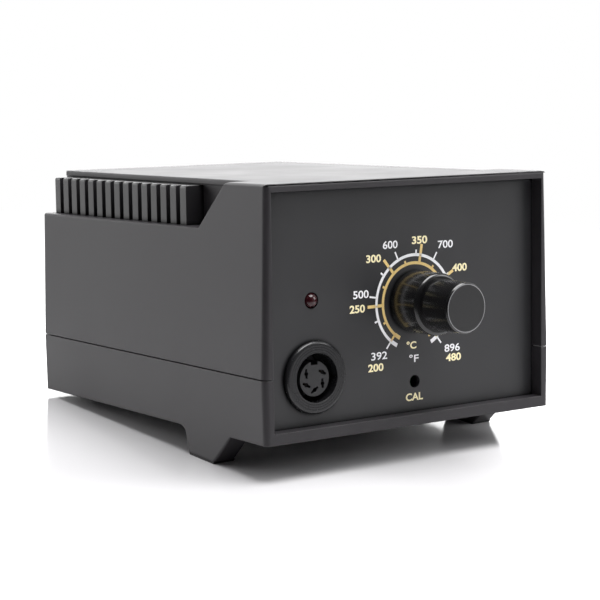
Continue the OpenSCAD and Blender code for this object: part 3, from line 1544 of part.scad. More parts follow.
upper_cover();
vent_grilles();
lower_case();
front_panel();
rear_panel();
front_foot_pads();
rear_feet();
case_screws();
temperature_knob();
knob_grub_screw();
potentiometer_shaft();
potentiometer_can();
potentiometer_wafer();
potentiometer_nut();
potentiometer_washer();
heater_lamp();
lamp_spacer();
lamp_leads();
calibration_trimmer();
calibration_rotor();
iron_socket_shell();
iron_socket_core();
iron_socket_contacts();
iron_socket_nut();
control_board();
board_screws();
amplifier_chips();
triac();
triac_heat_sink();
smoothing_capacitors();
film_capacitor();
resistors();
wire_headers();
transformer_core();
transformer_bobbin();
primary_winding();
secondary_winding();
transformer_tags();
transformer_bracket();
transformer_screws();
switch_housing();
switch_rocker();
switch_terminals();
inlet_housing();
inlet_blades();
fuse_drawer();
fuse_glass();
fuse_caps();
inlet_screws();
inlet_nuts();
earth_ring_tag();
mains_wires();
low_voltage_wires();
iron_socket_wires();
earth_wire();
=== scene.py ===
# %% [markdown]
# # A soldering iron station
#
# The solids of the station are already made and packed. Here they get their looks: softened edges,
# the print on the panel, and a material for each real finish. The first cell loads the imported solids
# as a fixed frame.

# %% Load the frame
import json
import math
import bmesh
import bpy
from mathutils import Matrix, Vector
from mathutils.bvhtree import BVHTree

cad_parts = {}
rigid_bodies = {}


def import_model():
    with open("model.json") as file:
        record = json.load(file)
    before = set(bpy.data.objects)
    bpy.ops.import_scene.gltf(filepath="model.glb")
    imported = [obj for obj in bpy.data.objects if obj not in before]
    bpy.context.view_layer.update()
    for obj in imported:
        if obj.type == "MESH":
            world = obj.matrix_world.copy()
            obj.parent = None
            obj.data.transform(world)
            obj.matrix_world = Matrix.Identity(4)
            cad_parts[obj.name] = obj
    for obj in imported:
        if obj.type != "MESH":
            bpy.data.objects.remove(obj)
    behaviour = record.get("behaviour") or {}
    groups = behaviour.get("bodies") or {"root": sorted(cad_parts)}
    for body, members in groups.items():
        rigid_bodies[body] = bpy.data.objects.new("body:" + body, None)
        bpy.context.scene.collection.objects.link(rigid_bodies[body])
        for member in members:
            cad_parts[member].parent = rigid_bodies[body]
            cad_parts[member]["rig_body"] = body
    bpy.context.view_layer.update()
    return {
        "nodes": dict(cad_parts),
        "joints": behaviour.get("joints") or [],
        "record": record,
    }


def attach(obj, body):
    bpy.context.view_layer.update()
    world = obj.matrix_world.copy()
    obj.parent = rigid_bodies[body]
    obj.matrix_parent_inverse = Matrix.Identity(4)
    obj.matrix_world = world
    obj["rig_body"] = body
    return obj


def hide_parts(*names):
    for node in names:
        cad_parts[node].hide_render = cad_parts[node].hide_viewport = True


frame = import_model()
nodes = frame["nodes"]
record = frame["record"]
MM = 0.001

# %% [markdown]
# ## Directions of the case
#
# The case leans back on its front feet, so its own depth and height aren't the world's Y and Z. The
# joint of the dial knob gives both: its axis runs straight to the rear of the case through the middle
# of the dial. Each piece on the front panel is placed from that point, in millimetres.

# %% Directions of the case
dial_joint = next(j for j in frame["joints"] if j["name"] == "knob_turn")
REARWARD = Vector(dial_joint["axis"]).normalized()
ACROSS = Vector((1, 0, 0))
UPWARD = ACROSS.cross(REARWARD)


def reach(node, direction):
    """How far a solid reaches along a direction, as its lowest and its highest value."""
    along = [vertex.co.dot(direction) for vertex in nodes[node].data.vertices]
    return min(along), max(along)


panel_face = reach("front_panel", REARWARD)[0]
dial_middle = Vector(dial_joint["pos_m"])
dial_middle += (panel_face - dial_middle.dot(REARWARD)) * REARWARD
print("middle of the dial:", [round(v / MM, 2) for v in dial_middle])


def on_panel(x, z, height=0.0):
    """A point of the front panel, in mm to the right of and above the middle of the dial."""
    return dial_middle + MM * (x * ACROSS + z * UPWARD - height * REARWARD)


# %% [markdown]
# ## Camera
#
# The camera comes first, because it decides what detail shows. It stands to the left and in front, a
# little above the station, with a long lens, so that the edges of the case hardly converge.

# %% Camera
camera_data = bpy.data.cameras.new("camera")
camera_data.sensor_width, camera_data.lens = 36, 108.28
camera_data.shift_x, camera_data.shift_y = 0.0055, -0.0018
camera_data.clip_start, camera_data.clip_end = 0.05, 60
camera = bpy.data.objects.new("camera", camera_data)
CAMERA_PLACE = (-0.37437, -0.52487, 0.15655)
# The columns are the camera's right, its up and its backward direction.
CAMERA_TURN = Matrix((
    (0.81775, 0.07770, -0.57031),
    (-0.57502, 0.15400, -0.80352),
    (0.02539, 0.98501, 0.17061),
))
camera.matrix_world = Matrix.Translation(CAMERA_PLACE) @ CAMERA_TURN.to_4x4()
bpy.context.scene.collection.objects.link(camera)
bpy.context.scene.camera = camera
bpy.context.scene.view_settings.view_transform = "Standard"
print("camera distance in m:", round((camera.location - dial_middle).length, 3))

# %% [markdown]
# ## Two small helpers
#
# Colours are written as sRGB hex values, as a colour picker shows them, and Blender computes in linear
# light. One function turns one into the other. The other helper adds a shader node, sets its
# properties and its inputs, and links an input when it is given the output of another node.

# %% Colours and nodes


def colour(code):
    """Turns an sRGB hex colour into linear red, green, blue and alpha."""
    parts = [int(code[i:i + 2], 16) / 255 for i in (1, 3, 5)]
    linear = [p / 12.92 if p <= 0.04045 else ((p + 0.055) / 1.055) ** 2.4 for p in parts]
    return (*linear, 1.0)


def add_node(tree, kind, inputs=None, **settings):
    """Adds a shader node with its settings. An input is a value, or an output that it is linked to."""
    node = tree.nodes.new("ShaderNode" + kind)
    for name, value in settings.items():
        setattr(node, name, value)
    for name, value in (inputs or {}).items():
        if isinstance(value, bpy.types.NodeSocket):
            tree.links.new(value, node.inputs[name])
        else:
            node.inputs[name].default_value = value
    return node


def start_material(name):
    """A new material with an empty node tree and an output node."""
    material = bpy.data.materials.new(name)
    material.use_nodes = True
    material.node_tree.nodes.clear()
    add_node(material.node_tree, "OutputMaterial")
    return material, material.node_tree


def finish_material(tree, shader):
    """Links a shader to the material's output."""
    output = next(n for n in tree.nodes if n.type == "OUTPUT_MATERIAL")
    tree.links.new(shader.outputs[0], output.inputs["Surface"])


print("orange in linear light:", [round(c, 3) for c in colour("#ff8000")])

# %% [markdown]
# ## Floor
#
# The station stands in a white room, on a wide sheet of white acrylic. One flat disc is enough for it,
# because its edge lies far outside the view.

# %% Floor
FLOOR_RADIUS = 6.0
floor_mesh = bpy.data.meshes.new("floor")
form = bmesh.new()
bmesh.ops.create_circle(form, cap_ends=True, radius=FLOOR_RADIUS, segments=96)
form.to_mesh(floor_mesh)
form.free()
floor = bpy.data.objects.new("floor", floor_mesh)
bpy.context.scene.collection.objects.link(floor)
print("floor radius in m:", FLOOR_RADIUS)

# %% [markdown]
# ## Polished acrylic
#
# Polished acrylic is glossy, with an IOR of 1.49, so the station is mirrored in it. Away from the
# station it turns into plain white, so that no horizon shows. To the camera that white is even. As a
# light and in reflections it carries painted shade: it is darker in front, where no lamp stands, and
# darkest in the front left corner of the room, where a black curtain hangs. In reflections the acrylic
# near the station is painted a little darker too, with a painted shadow of the curtain on it.

# %% Polished acrylic
# Distances from the station, in metres, between which the acrylic turns into plain white
FADE_START, FADE_END = 0.16, 0.62
# How bright the room is in front, against the rear
FRONT_SHARE = 0.35
# Y in metres up to which the plain white has its painted shade, as dark as the room in front, and where it
# gets fully bright
DARK_PLACE, BRIGHT_PLACE = -0.5, 0.1
# Towards the curtain, as a direction of length 1
CURTAIN = (-0.75, -0.65, 0.1)
# Distances towards the curtain, in metres, between which its painted shadow darkens the floor, and what that
# shadow leaves
SHADE_START, SHADE_END, SHADE_LEFT = 0.1, 0.3, 0.15
acrylic, tree = start_material("polished white acrylic")
rays = add_node(tree, "LightPath")
place = add_node(tree, "TexCoord")
distance = add_node(tree, "VectorMath", {0: place.outputs["Object"]}, operation="LENGTH")
fade = add_node(tree, "MapRange", {
    "Value": distance.outputs["Value"], "From Min": FADE_START, "From Max": FADE_END,
}, interpolation_type="SMOOTHSTEP")
nearness = add_node(tree, "VectorMath", {
    0: place.outputs["Object"], 1: CURTAIN,
}, operation="DOT_PRODUCT")
# Painted shadow of the curtain on the floor, seen in reflections and as a light
painted_curtain_shadow = add_node(tree, "MapRange", {
    "Value": nearness.outputs["Value"], "From Min": SHADE_START, "From Max": SHADE_END,
    "To Min": 1.0, "To Max": SHADE_LEFT,
}, interpolation_type="SMOOTHSTEP")
# Painted shade: in reflections the acrylic is darker than to the camera, and darker still towards the curtain
painted_shade_in_mirrors = add_node(tree, "Mix", {
    0: painted_curtain_shadow.outputs[0], 6: (0, 0, 0, 1), 7: colour("#e6e5e7"),
}, data_type="RGBA")
shade = add_node(tree, "Mix", {
    0: rays.outputs["Is Glossy Ray"], 6: colour("#eeedef"), 7: painted_shade_in_mirrors.outputs[2],
}, data_type="RGBA")
sheet = add_node(tree, "BsdfPrincipled", {
    "Base Color": shade.outputs[2], "Roughness": 0.12, "IOR": 1.49,
})
depth = add_node(tree, "SeparateXYZ", {"Vector": place.outputs["Object"]})
# Painted shade: as a light and in reflections the plain white is darker in front
painted_front_shade = add_node(tree, "MapRange", {
    "Value": depth.outputs["Y"], "From Min": DARK_PLACE, "From Max": BRIGHT_PLACE,
    "To Min": FRONT_SHARE, "To Max": 1.0,
})
both_shades = add_node(tree, "Math", {
    0: painted_front_shade.outputs[0], 1: painted_curtain_shadow.outputs[0],
}, operation="MULTIPLY")
as_seen = add_node(tree, "Math", {
    0: both_shades.outputs[0], 1: rays.outputs["Is Camera Ray"],
}, operation="MAXIMUM")
plain_white = add_node(tree, "Emission", {"Color": (1, 1, 1, 1), "Strength": as_seen.outputs[0]})
seen = add_node(tree, "Math", {
    0: rays.outputs["Is Camera Ray"], 1: rays.outputs["Is Glossy Ray"],
}, operation="ADD")
seen_all = add_node(tree, "Math", {
    0: seen.outputs[0], 1: rays.outputs["Is Transmission Ray"],
}, operation="ADD", use_clamp=True)
share = add_node(tree, "Math", {0: fade.outputs[0], 1: seen_all.outputs[0]}, operation="MULTIPLY")
blend = add_node(tree, "MixShader", {
    "Fac": share.outputs[0], 1: sheet.outputs[0], 2: plain_white.outputs[0],
})
finish_material(tree, blend)
floor.data.materials.append(acrylic)
print("floor material:", acrylic.name)

# %% [markdown]
# ## Room
#
# The world stands for the walls of the room. To the camera and through glass they are plain white. In
# reflections they are darker in front and darkest at the curtain, and as a light they are faint beside
# the lamps.

# %% Room
# Strength of the light that falls from the walls
ROOM_LIGHT = 0.32
# Y of the directions in which the mirrored walls are darkest and brightest
DARK_WAY, BRIGHT_WAY = -0.7, 0.4
# How well a direction fits the curtain's at its edge and in its middle, and what the curtain leaves
CURTAIN_EDGE, CURTAIN_MIDDLE, CURTAIN_LEFT = 0.25, 0.8, 0.05
world = bpy.data.worlds.new("white room")
bpy.context.scene.world = world
world.use_nodes = True
tree = world.node_tree
tree.nodes.clear()
rays = add_node(tree, "LightPath")
direction = add_node(tree, "TexCoord")
parts = add_node(tree, "SeparateXYZ", {"Vector": direction.outputs["Generated"]})
mirrored = add_node(tree, "MapRange", {
    "Value": parts.outputs["Y"], "From Min": DARK_WAY, "From Max": BRIGHT_WAY,
    "To Min": FRONT_SHARE, "To Max": 1.0,
}, interpolation_type="SMOOTHSTEP")
# The camera doesn't see the curtain, but it takes light away.
towards = add_node(tree, "VectorMath", {
    0: direction.outputs["Generated"], 1: CURTAIN,
}, operation="DOT_PRODUCT")
curtain = add_node(tree, "MapRange", {
    "Value": towards.outputs["Value"], "From Min": CURTAIN_EDGE, "From Max": CURTAIN_MIDDLE,
    "To Min": 1.0, "To Max": CURTAIN_LEFT,
}, interpolation_type="SMOOTHSTEP")
dimmed = add_node(tree, "Math", {0: mirrored.outputs[0], 1: curtain.outputs[0]}, operation="MULTIPLY")
soft_light = add_node(tree, "Math", {0: curtain.outputs[0], 1: ROOM_LIGHT}, operation="MULTIPLY")
to_mirrors = add_node(tree, "Mix", {
    0: rays.outputs["Is Glossy Ray"], 2: soft_light.outputs[0], 3: dimmed.outputs[0],
}, data_type="FLOAT")
straight = add_node(tree, "Math", {
    0: rays.outputs["Is Camera Ray"], 1: rays.outputs["Is Transmission Ray"],
}, operation="MAXIMUM")
strength = add_node(tree, "Mix", {
    0: straight.outputs[0], 2: to_mirrors.outputs[0], 3: 1.0,
}, data_type="FLOAT")
room = add_node(tree, "Background", {"Color": (1, 1, 1, 1), "Strength": strength.outputs[0]})
add_node(tree, "OutputWorld", {"Surface": room.outputs[0]})
print("light of the room in front against the rear:", FRONT_SHARE)

# %% [markdown]
# ## Lamps
#
# The strongest lamp hangs over the station, and a wide one behind it gives the top its shine. Two
# small ones brighten the left wall from the rear and the panel from the right. Sizes and places are in
# metres, and the last number is the power in watts.

# %% Lamps
# The middle of the station, which every lamp faces
LAMP_AIM = Vector((0, 0, 0.04))


def softbox(name, place, width, height, power):
    """A rectangular lamp that faces the middle of the station."""
    lamp = bpy.data.lights.new(name, "AREA")
    lamp.shape = "RECTANGLE"
    lamp.size, lamp.size_y, lamp.energy = width, height, power
    stand = bpy.data.objects.new(name, lamp)
    stand.location = place
    stand.rotation_euler = (Vector(place) - LAMP_AIM).to_track_quat("Z", "Y").to_euler()
    bpy.context.scene.collection.objects.link(stand)


softbox("left softbox", (-0.62, 0.68, 0.3), 0.7, 0.5, 2.15)
softbox("rear softbox", (0.8, 1.25, 0.45), 1.5, 0.8, 9.5)
softbox("overhead softbox", (0.1, -0.2, 1.05), 0.8, 0.8, 17.0)
softbox("right fill", (0.75, -0.6, 0.5), 0.5, 0.5, 3.6)

# %% [markdown]
# ## Painted shade in creases
#
# Little light gets into a narrow gap, so shade is painted there. An Ambient Occlusion node measures
# how much of the sky is open over a point. Where that is little, the painted shade takes colour and
# shine down.

# %% Painted shade in creases
# Share of open sky over a point, below which a crease is darkest and above which it isn't dark
CREASE_DARK, CREASE_CLEAR = 0.45, 0.85
# What is left of the colour in the darkest crease
CREASE_LEFT = 0.1
# Specular level of a plastic whose IOR counts in full
FULL_SHINE = 0.5


def paint_crease_shade(tree, shader, base, crease_mm):
    """Paints shade: takes colour and shine away where another wall stands close by."""
    open_share = add_node(tree, "AmbientOcclusion", {"Distance": crease_mm * MM}, samples=8).outputs["AO"]
    left = add_node(tree, "MapRange", {
        "Value": open_share, "From Min": CREASE_DARK, "From Max": CREASE_CLEAR, "To Min": CREASE_LEFT,
    }).outputs[0]
    crease_shade_colour = add_node(tree, "Mix", {0: left, 6: (0, 0, 0, 1), 7: base}, data_type="RGBA")
    crease_shade_shine = add_node(tree, "Math", {0: left, 1: FULL_SHINE}, operation="MULTIPLY")
    tree.links.new(crease_shade_colour.outputs[2], shader.inputs["Base Color"])
    tree.links.new(crease_shade_shine.outputs[0], shader.inputs["Specular IOR Level"])


print("left of the colour in a crease:", CREASE_LEFT)

# %% [markdown]
# ## Moulded plastic
#
# The two shells are moulded in black ABS. Their mould was spark eroded, which leaves a fine, even
# grain and a satin look. The pigment isn't mixed perfectly and the wall cools unevenly, so a broad
# unevenness lies over the grain. Both come from noise at a real size: the grain from one of less than
# a millimetre, which also lifts the surface, and the unevenness from one of a few centimetres. The
# same function serves for everything else that is moulded, cast or dipped, with other sizes.

# %% Moulded plastic
# A spark eroded grain is really about 0.2 mm wide. That is too fine to show, so it is drawn coarser.
GRAIN_MM = 0.5
# The broad unevenness, and how it is drawn out upwards, the way the melt flowed
UNEVEN_MM, FLOW_STRETCH = 28, (1, 1, 0.3)
# The middle part of a noise's values, which nearly all of its area lies in
NOISE_LOW, NOISE_HIGH = 0.3, 0.7
# How far the grain changes the tone, and the unevenness the roughness
GRAIN_SHARE, GLOSS_SPREAD = 0.2, 0.03


def moulded_plastic(
    name, shade, dark, roughness, grain_mm=GRAIN_MM, height_mm=0.02, ior=1.53, crease_mm=None, edge_mm=None
):
    """A plastic with a fine grain, and a broad unevenness in its colour and its gloss."""
    material, tree = start_material(name)
    place = add_node(tree, "TexCoord").outputs["Object"]
    drawn_out = add_node(tree, "Mapping", {"Vector": place, "Scale": FLOW_STRETCH})
    broad = add_node(tree, "TexNoise", {
        "Vector": drawn_out.outputs[0], "Scale": 1 / (UNEVEN_MM * MM), "Detail": 3, "Roughness": 0.55,
    })
    fine = add_node(tree, "TexNoise", {
        "Vector": place, "Scale": 1 / (grain_mm * MM), "Detail": 3, "Roughness": 0.6,
    })
    patches = add_node(tree, "MapRange", {
        "Value": broad.outputs[0], "From Min": NOISE_LOW, "From Max": NOISE_HIGH,
    })
    specks = add_node(tree, "MapRange", {
        "Value": fine.outputs[0], "From Min": NOISE_LOW, "From Max": NOISE_HIGH,
        "To Min": -GRAIN_SHARE, "To Max": GRAIN_SHARE,
    })
    tone = add_node(tree, "Math", {
        0: patches.outputs[0], 1: specks.outputs[0],
    }, operation="ADD", use_clamp=True)
    base = add_node(tree, "Mix", {
        0: tone.outputs[0], 6: colour(dark), 7: colour(shade),
    }, data_type="RGBA")
    gloss = add_node(tree, "MapRange", {
        "Value": broad.outputs[0], "From Min": NOISE_LOW, "From Max": NOISE_HIGH,
        "To Min": roughness - GLOSS_SPREAD, "To Max": roughness + GLOSS_SPREAD,
    })
    bump = add_node(tree, "Bump", {
        "Height": fine.outputs[0], "Strength": 0.6, "Distance": height_mm * MM,
    })
    if edge_mm is not None:
        eased = add_node(tree, "Bevel", {"Radius": edge_mm * MM}, samples=6)
        tree.links.new(eased.outputs[0], bump.inputs["Normal"])
    shader = add_node(tree, "BsdfPrincipled", {
        "Base Color": base.outputs[2], "Roughness": gloss.outputs[0], "Normal": bump.outputs[0], "IOR": ior,
    })
    # Painted shade in creases
    if crease_mm is not None:
        paint_crease_shade(tree, shader, base.outputs[2], crease_mm)
    finish_material(tree, shader)
    return material


print("grain of the case in mm:", GRAIN_MM)

# %% [markdown]
# ## Plastics and lacquers
#
# Each is made from a light and a dark tone, a roughness, and the width and height of its grain in
# millimetres. The shells have eased edges too, and the fins and the panels have painted shade in
# their creases.

# %% Plastics and lacquers
# ABS has an IOR of 1.53, but the grain takes some of the shine away, so the shells get less. Their
# edges are eased, because spark erosion leaves no sharp corner in a mould.
case_abs = moulded_plastic(
    "black ABS, spark eroded mould", "#2e2c2f", "#282629", 0.46, ior=1.46, edge_mm=0.5
)
# The fins were moulded without grain, so they look darker than the shells. Shade is painted in the
# narrow gaps between them.
smooth_abs = moulded_plastic(
    "black ABS, smooth mould", "#252426", "#201f21", 0.32, grain_mm=0.3, height_mm=0.002, crease_mm=2.5
)
# The panels are cut from sheet that was rolled with a matt face. It is smoother than the shells, and a
# little darker. Shade is painted where the rim of the case stands close by.
panel_sheet = moulded_plastic(
    "black ABS sheet, matt rolled", "#2b2b2d", "#28282a", 0.4, grain_mm=0.25, height_mm=0.004, crease_mm=1.6
)
# The knob's phenolic was pressed in a polished mould, so it mirrors the print behind it.
polished_phenolic = moulded_plastic(
    "black phenolic, polished mould", "#121213", "#0e0e0f", 0.2, grain_mm=0.6, height_mm=0.0008, ior=1.6
)
# Glass fibres just under the skin make this nylon a little grey and satin.
black_nylon = moulded_plastic(
    "black glass-filled nylon, moulded", "#2a2a2c", "#222224", 0.38, grain_mm=0.4, height_mm=0.008
)
# Nylon without pigment is ivory and slightly waxy.
natural_nylon = moulded_plastic(
    "natural nylon, moulded", "#ddd8c6", "#d2ccb8", 0.35, grain_mm=0.6, height_mm=0.005
)
# Rubber scatters nearly all light, so the feet look matt.
soft_rubber = moulded_plastic(
    "black rubber, moulded", "#242425", "#1b1b1c", 0.75, grain_mm=0.5, height_mm=0.02
)
# Paper soaked in resin is a dull brown where it was punched.
phenolic_paper = moulded_plastic(
    "brown phenolic paper, punched", "#6b4424", "#573418", 0.5, grain_mm=0.3, height_mm=0.004
)
# The mask is a glossy lacquer, and the glass cloth below it makes it wavy.
board_laminate = moulded_plastic(
    "green solder mask on glass epoxy", "#2c6a3c", "#215a31", 0.22, grain_mm=1.4, height_mm=0.01
)
# A sleeve that was shrunk on is tight, smooth and glossy.
capacitor_sleeve = moulded_plastic(
    "blue PVC sleeve, shrunk on", "#24365e", "#1c2c50", 0.3, grain_mm=0.8, height_mm=0.004
)
# A dipped coat runs before it sets, so it is glossy and uneven.
dipped_film = moulded_plastic(
    "red dipped epoxy", "#a8402a", "#96341f", 0.28, grain_mm=1.2, height_mm=0.012
)
# The lacquer of a resistor is thin and dries satin.
resistor_lacquer = moulded_plastic(
    "beige dipped lacquer", "#cdb084", "#bf9f70", 0.4, grain_mm=0.5, height_mm=0.004
)
# The lamp is off, so its cast dome is a deep red under a glassy skin.
lamp_epoxy = moulded_plastic(
    "dark red diffused epoxy, cast", "#371016", "#2a0a0f", 0.14, grain_mm=0.5, height_mm=0.0005, ior=1.5
)
print("shells:", case_abs.name, "| fins:", smooth_abs.name, "| knob:", polished_phenolic.name)

# %% [markdown]
# ## Metals
#
# Few metals show from outside: screw heads, the blades of the inlet and the contacts of the iron
# socket. Plated metal has faint clouds in its gloss, and rolled or drawn metal has fine lines. One
# function gives each metal its colour and lets noise vary its roughness, stretched along one direction
# where the metal has lines.

# %% Metals
# How far the clouds change the roughness
METAL_SPREAD = 0.08


def finished_metal(name, shade, roughness, stretch=(1, 1, 1), cloud_mm=1.5, metallic=1.0):
    """A metal whose gloss varies in fine clouds, or in lines where the noise is stretched."""
    material, tree = start_material(name)
    place = add_node(tree, "TexCoord").outputs["Object"]
    scaled = add_node(tree, "Mapping", {"Vector": place, "Scale": stretch})
    cloud = add_node(tree, "TexNoise", {
        "Vector": scaled.outputs[0], "Scale": 1 / (cloud_mm * MM), "Detail": 4, "Roughness": 0.6,
    })
    gloss = add_node(tree, "MapRange", {
        "Value": cloud.outputs[0], "From Min": NOISE_LOW, "From Max": NOISE_HIGH,
        "To Min": roughness - METAL_SPREAD, "To Max": roughness + METAL_SPREAD,
    })
    bump = add_node(tree, "Bump", {"Height": cloud.outputs[0], "Strength": 0.3, "Distance": 0.004 * MM})
    shader = add_node(tree, "BsdfPrincipled", {
        "Base Color": colour(shade), "Metallic": metallic, "Roughness": gloss.outputs[0],
        "Normal": bump.outputs[0],
    })
    finish_material(tree, shader)
    return material


# A bright zinc plate is pale and faintly cloudy.
zinc_plate = finished_metal("bright zinc plate on steel", "#b9babc", 0.3)
# The core's stacked sheets show as close lines, and their varnish hides part of the metal.
core_varnish = finished_metal(
    "varnished silicon steel sheets", "#55534f", 0.45, stretch=(1, 20, 1), cloud_mm=0.5, metallic=0.4
)
# Extrusion leaves long upright lines.
extruded_aluminium = finished_metal(
    "extruded aluminium", "#c9cbce", 0.32, stretch=(1, 1, 0.05), cloud_mm=0.4
)
# Thin tin lets the brass through, so stamped tags and blades look pale gold.
tinned_brass = finished_metal("tinned brass, stamped", "#cdbb8a", 0.28)
# The contacts of the iron socket have gone dark with use.
tarnished_brass = finished_metal("tarnished brass, turned", "#3a3128", 0.45)
# Rolling leaves lines across the sheet.
rolled_steel = finished_metal(
    "rolled zinc plated sheet", "#a9abad", 0.36, stretch=(0.05, 1, 1), cloud_mm=0.4
)
print("metals:", zinc_plate.name, rolled_steel.name, sep=", ")

# %% [markdown]
# ## Winding
#
# Enamelled copper wire is wound turn by turn, so its colour and its height follow bands at the pitch
# of the wire. The enamel is a clear brown film, so the copper is darker than bare metal.

# %% Winding
# The real turns lie about 0.4 mm apart. That is too fine to show, so they are drawn twice as coarse.
WIRE_PITCH_MM = 0.8
# A wave texture with a scale of 1 repeats after this many metres
WAVE_LENGTH = 0.314


def wound_copper(name):
    """Enamelled copper wire, wound in level turns."""
    material, tree = start_material(name)
    place = add_node(tree, "TexCoord").outputs["Object"]
    turns = add_node(tree, "TexWave", {
        "Vector": place, "Scale": WAVE_LENGTH / (WIRE_PITCH_MM * MM), "Distortion": 0.6, "Detail": 1,
    }, bands_direction="Z")
    base = add_node(tree, "Mix", {
        0: turns.outputs["Fac"], 6: colour("#5d2d14"), 7: colour("#b0622f"),
    }, data_type="RGBA")
    bump = add_node(tree, "Bump", {"Height": turns.outputs["Fac"], "Distance": 0.2 * MM})
    shader = add_node(tree, "BsdfPrincipled", {
        "Base Color": base.outputs[2], "Metallic": 0.6, "Roughness": 0.3, "Normal": bump.outputs[0],
    })
    finish_material(tree, shader)
    return material


winding = wound_copper("enamelled copper wire, level wound")
print("pitch of the winding in mm:", WIRE_PITCH_MM)

# %% [markdown]
# ## Wire sleeves and fuse glass
#
# The wires' sleeves are PVC, extruded over the strands, which leaves them smooth and satin. The tube of
# the fuse is drawn glass, clear with hardly any waves.

# %% Wire sleeves and fuse glass
brown_pvc, yellow_pvc, red_pvc, green_pvc = (
    moulded_plastic(f"{tint} PVC, extruded over wire", shade, dark, 0.35, grain_mm=0.8, height_mm=0.003)
    for tint, shade, dark in (
        ("brown", "#6a3d22", "#5b3119"), ("yellow", "#c9a12c", "#b58d20"),
        ("red", "#a5302b", "#922520"), ("green", "#3f7d34", "#346c2a"),
    )
)
# Width of the waves in the glass
GLASS_WAVE_MM = 2


def clear_glass(name):
    """Clear glass with a faint unevenness from its drawing."""
    material, tree = start_material(name)
    place = add_node(tree, "TexCoord").outputs["Object"]
    streaks = add_node(tree, "TexNoise", {"Vector": place, "Scale": 1 / (GLASS_WAVE_MM * MM), "Detail": 2})
    bump = add_node(tree, "Bump", {
        "Height": streaks.outputs[0], "Strength": 0.1, "Distance": 0.01 * MM,
    })
    shader = add_node(tree, "BsdfPrincipled", {
        "Base Color": colour("#f2f6f5"), "Roughness": 0.03, "IOR": 1.5, "Transmission Weight": 1.0,
        "Normal": bump.outputs[0],
    })
    finish_material(tree, shader)
    return material


fuse_tube = clear_glass("clear glass, drawn tube")
print("sleeves and glass:", brown_pvc.name, fuse_tube.name, sep=", ")

# %% [markdown]
# ## Turned surfaces
#
# The face of the knob and the shell of the iron socket were turned in a lathe. The tool leaves fine
# rings round their axis. A sine of the distance from the axis draws them, and noise breaks them up.

# %% Turned surfaces
# Width of the clouds that break up the rings, and how far they change the roughness
TURNING_CLOUD_MM, TURNING_SPREAD = 1.2, 0.04
# Width in mm of the gaps where turned pieces get painted shade
TURNED_CREASE_MM = 2.5
# How far inside the edge its painted highlight starts, and where it is fully bright
EDGE_START_MM, EDGE_FULL_MM = 0.3, 0.2


def axis_distance(tree, middle):
    """Distance in metres from the line that runs straight into the panel at a point."""
    place = add_node(tree, "TexCoord").outputs["Object"]
    offset = add_node(tree, "VectorMath", {0: place, 1: middle}, operation="SUBTRACT")
    arm = add_node(tree, "VectorMath", {0: offset.outputs[0], 1: REARWARD}, operation="CROSS_PRODUCT")
    return add_node(tree, "VectorMath", {0: arm.outputs[0]}, operation="LENGTH").outputs["Value"]


def turned(name, shade, roughness, middle, pitch_mm, height_mm, edge_mm=None, glint_shade=None):
    """A turned piece: lathe rings round its axis, a painted highlight at its edge if any, painted crease
    shade.
    """
    material, tree = start_material(name)
    distance = axis_distance(tree, middle)
    turns = add_node(tree, "Math", {0: distance, 1: math.tau / (pitch_mm * MM)}, operation="MULTIPLY")
    rings = add_node(tree, "Math", {0: turns.outputs[0]}, operation="SINE")
    cloud = add_node(tree, "TexNoise", {
        "Vector": add_node(tree, "TexCoord").outputs["Object"],
        "Scale": 1 / (TURNING_CLOUD_MM * MM), "Detail": 3,
    })
    uneven = add_node(tree, "Math", {0: rings.outputs[0], 1: cloud.outputs[0]}, operation="MULTIPLY")
    bump = add_node(tree, "Bump", {"Height": uneven.outputs[0], "Distance": height_mm * MM})
    gloss = add_node(tree, "MapRange", {
        "Value": cloud.outputs[0], "From Min": NOISE_LOW, "From Max": NOISE_HIGH,
        "To Min": roughness - TURNING_SPREAD, "To Max": roughness + TURNING_SPREAD,
    })
    shader = add_node(tree, "BsdfPrincipled", {"Roughness": gloss.outputs[0], "Normal": bump.outputs[0]})
    tint = colour(shade)
    if edge_mm is not None:
        # Painted highlight: a pale line just inside the edge of the face
        painted_glint = add_node(tree, "MapRange", {
            "Value": distance,
            "From Min": (edge_mm - EDGE_START_MM) * MM, "From Max": (edge_mm - EDGE_FULL_MM) * MM,
        })
        tint = add_node(tree, "Mix", {
            0: painted_glint.outputs[0], 6: tint, 7: colour(glint_shade),
        }, data_type="RGBA").outputs[2]
    # Painted shade in the creases round the piece
    paint_crease_shade(tree, shader, tint, TURNED_CREASE_MM)
    finish_material(tree, shader)
    return material


print("rings are broken up over, in mm:", TURNING_CLOUD_MM)

# %% [markdown]
# ## Knob face and socket shell
#
# Both pieces point straight out of the panel, so their axis is found from how far they reach across
# and upwards. Rings of a fine cut are really about 0.1 mm apart. They are drawn coarser, so that they
# show.

# %% Knob face and socket shell
# Faces of the knob within this depth of its end are its flat front
FRONT_DEPTH_MM = 0.1


def middle_of(node):
    """A point on the axis of a round piece that points straight out of the panel."""
    along, up = (sum(reach(node, way)) / 2 * way for way in (ACROSS, UPWARD))
    return along + up + panel_face * REARWARD


knob_mesh = nodes["temperature_knob"].data
knob_end = reach("temperature_knob", REARWARD)[0]
front_faces = [f for f in knob_mesh.polygons if f.center.dot(REARWARD) < knob_end + FRONT_DEPTH_MM * MM]
knob_axis = middle_of("temperature_knob")
face_radius = max(
    (knob_mesh.vertices[i].co - knob_axis).cross(REARWARD).length for f in front_faces for i in f.vertices
)
# The flat front was faced off in a lathe, so it is matt. The pale line round its edge is a painted
# highlight, where the edge catches the light.
faced_phenolic = turned(
    "black phenolic, faced", "#232324", 0.42, knob_axis, pitch_mm=0.3, height_mm=0.002,
    edge_mm=face_radius / MM, glint_shade="#8e8e90",
)
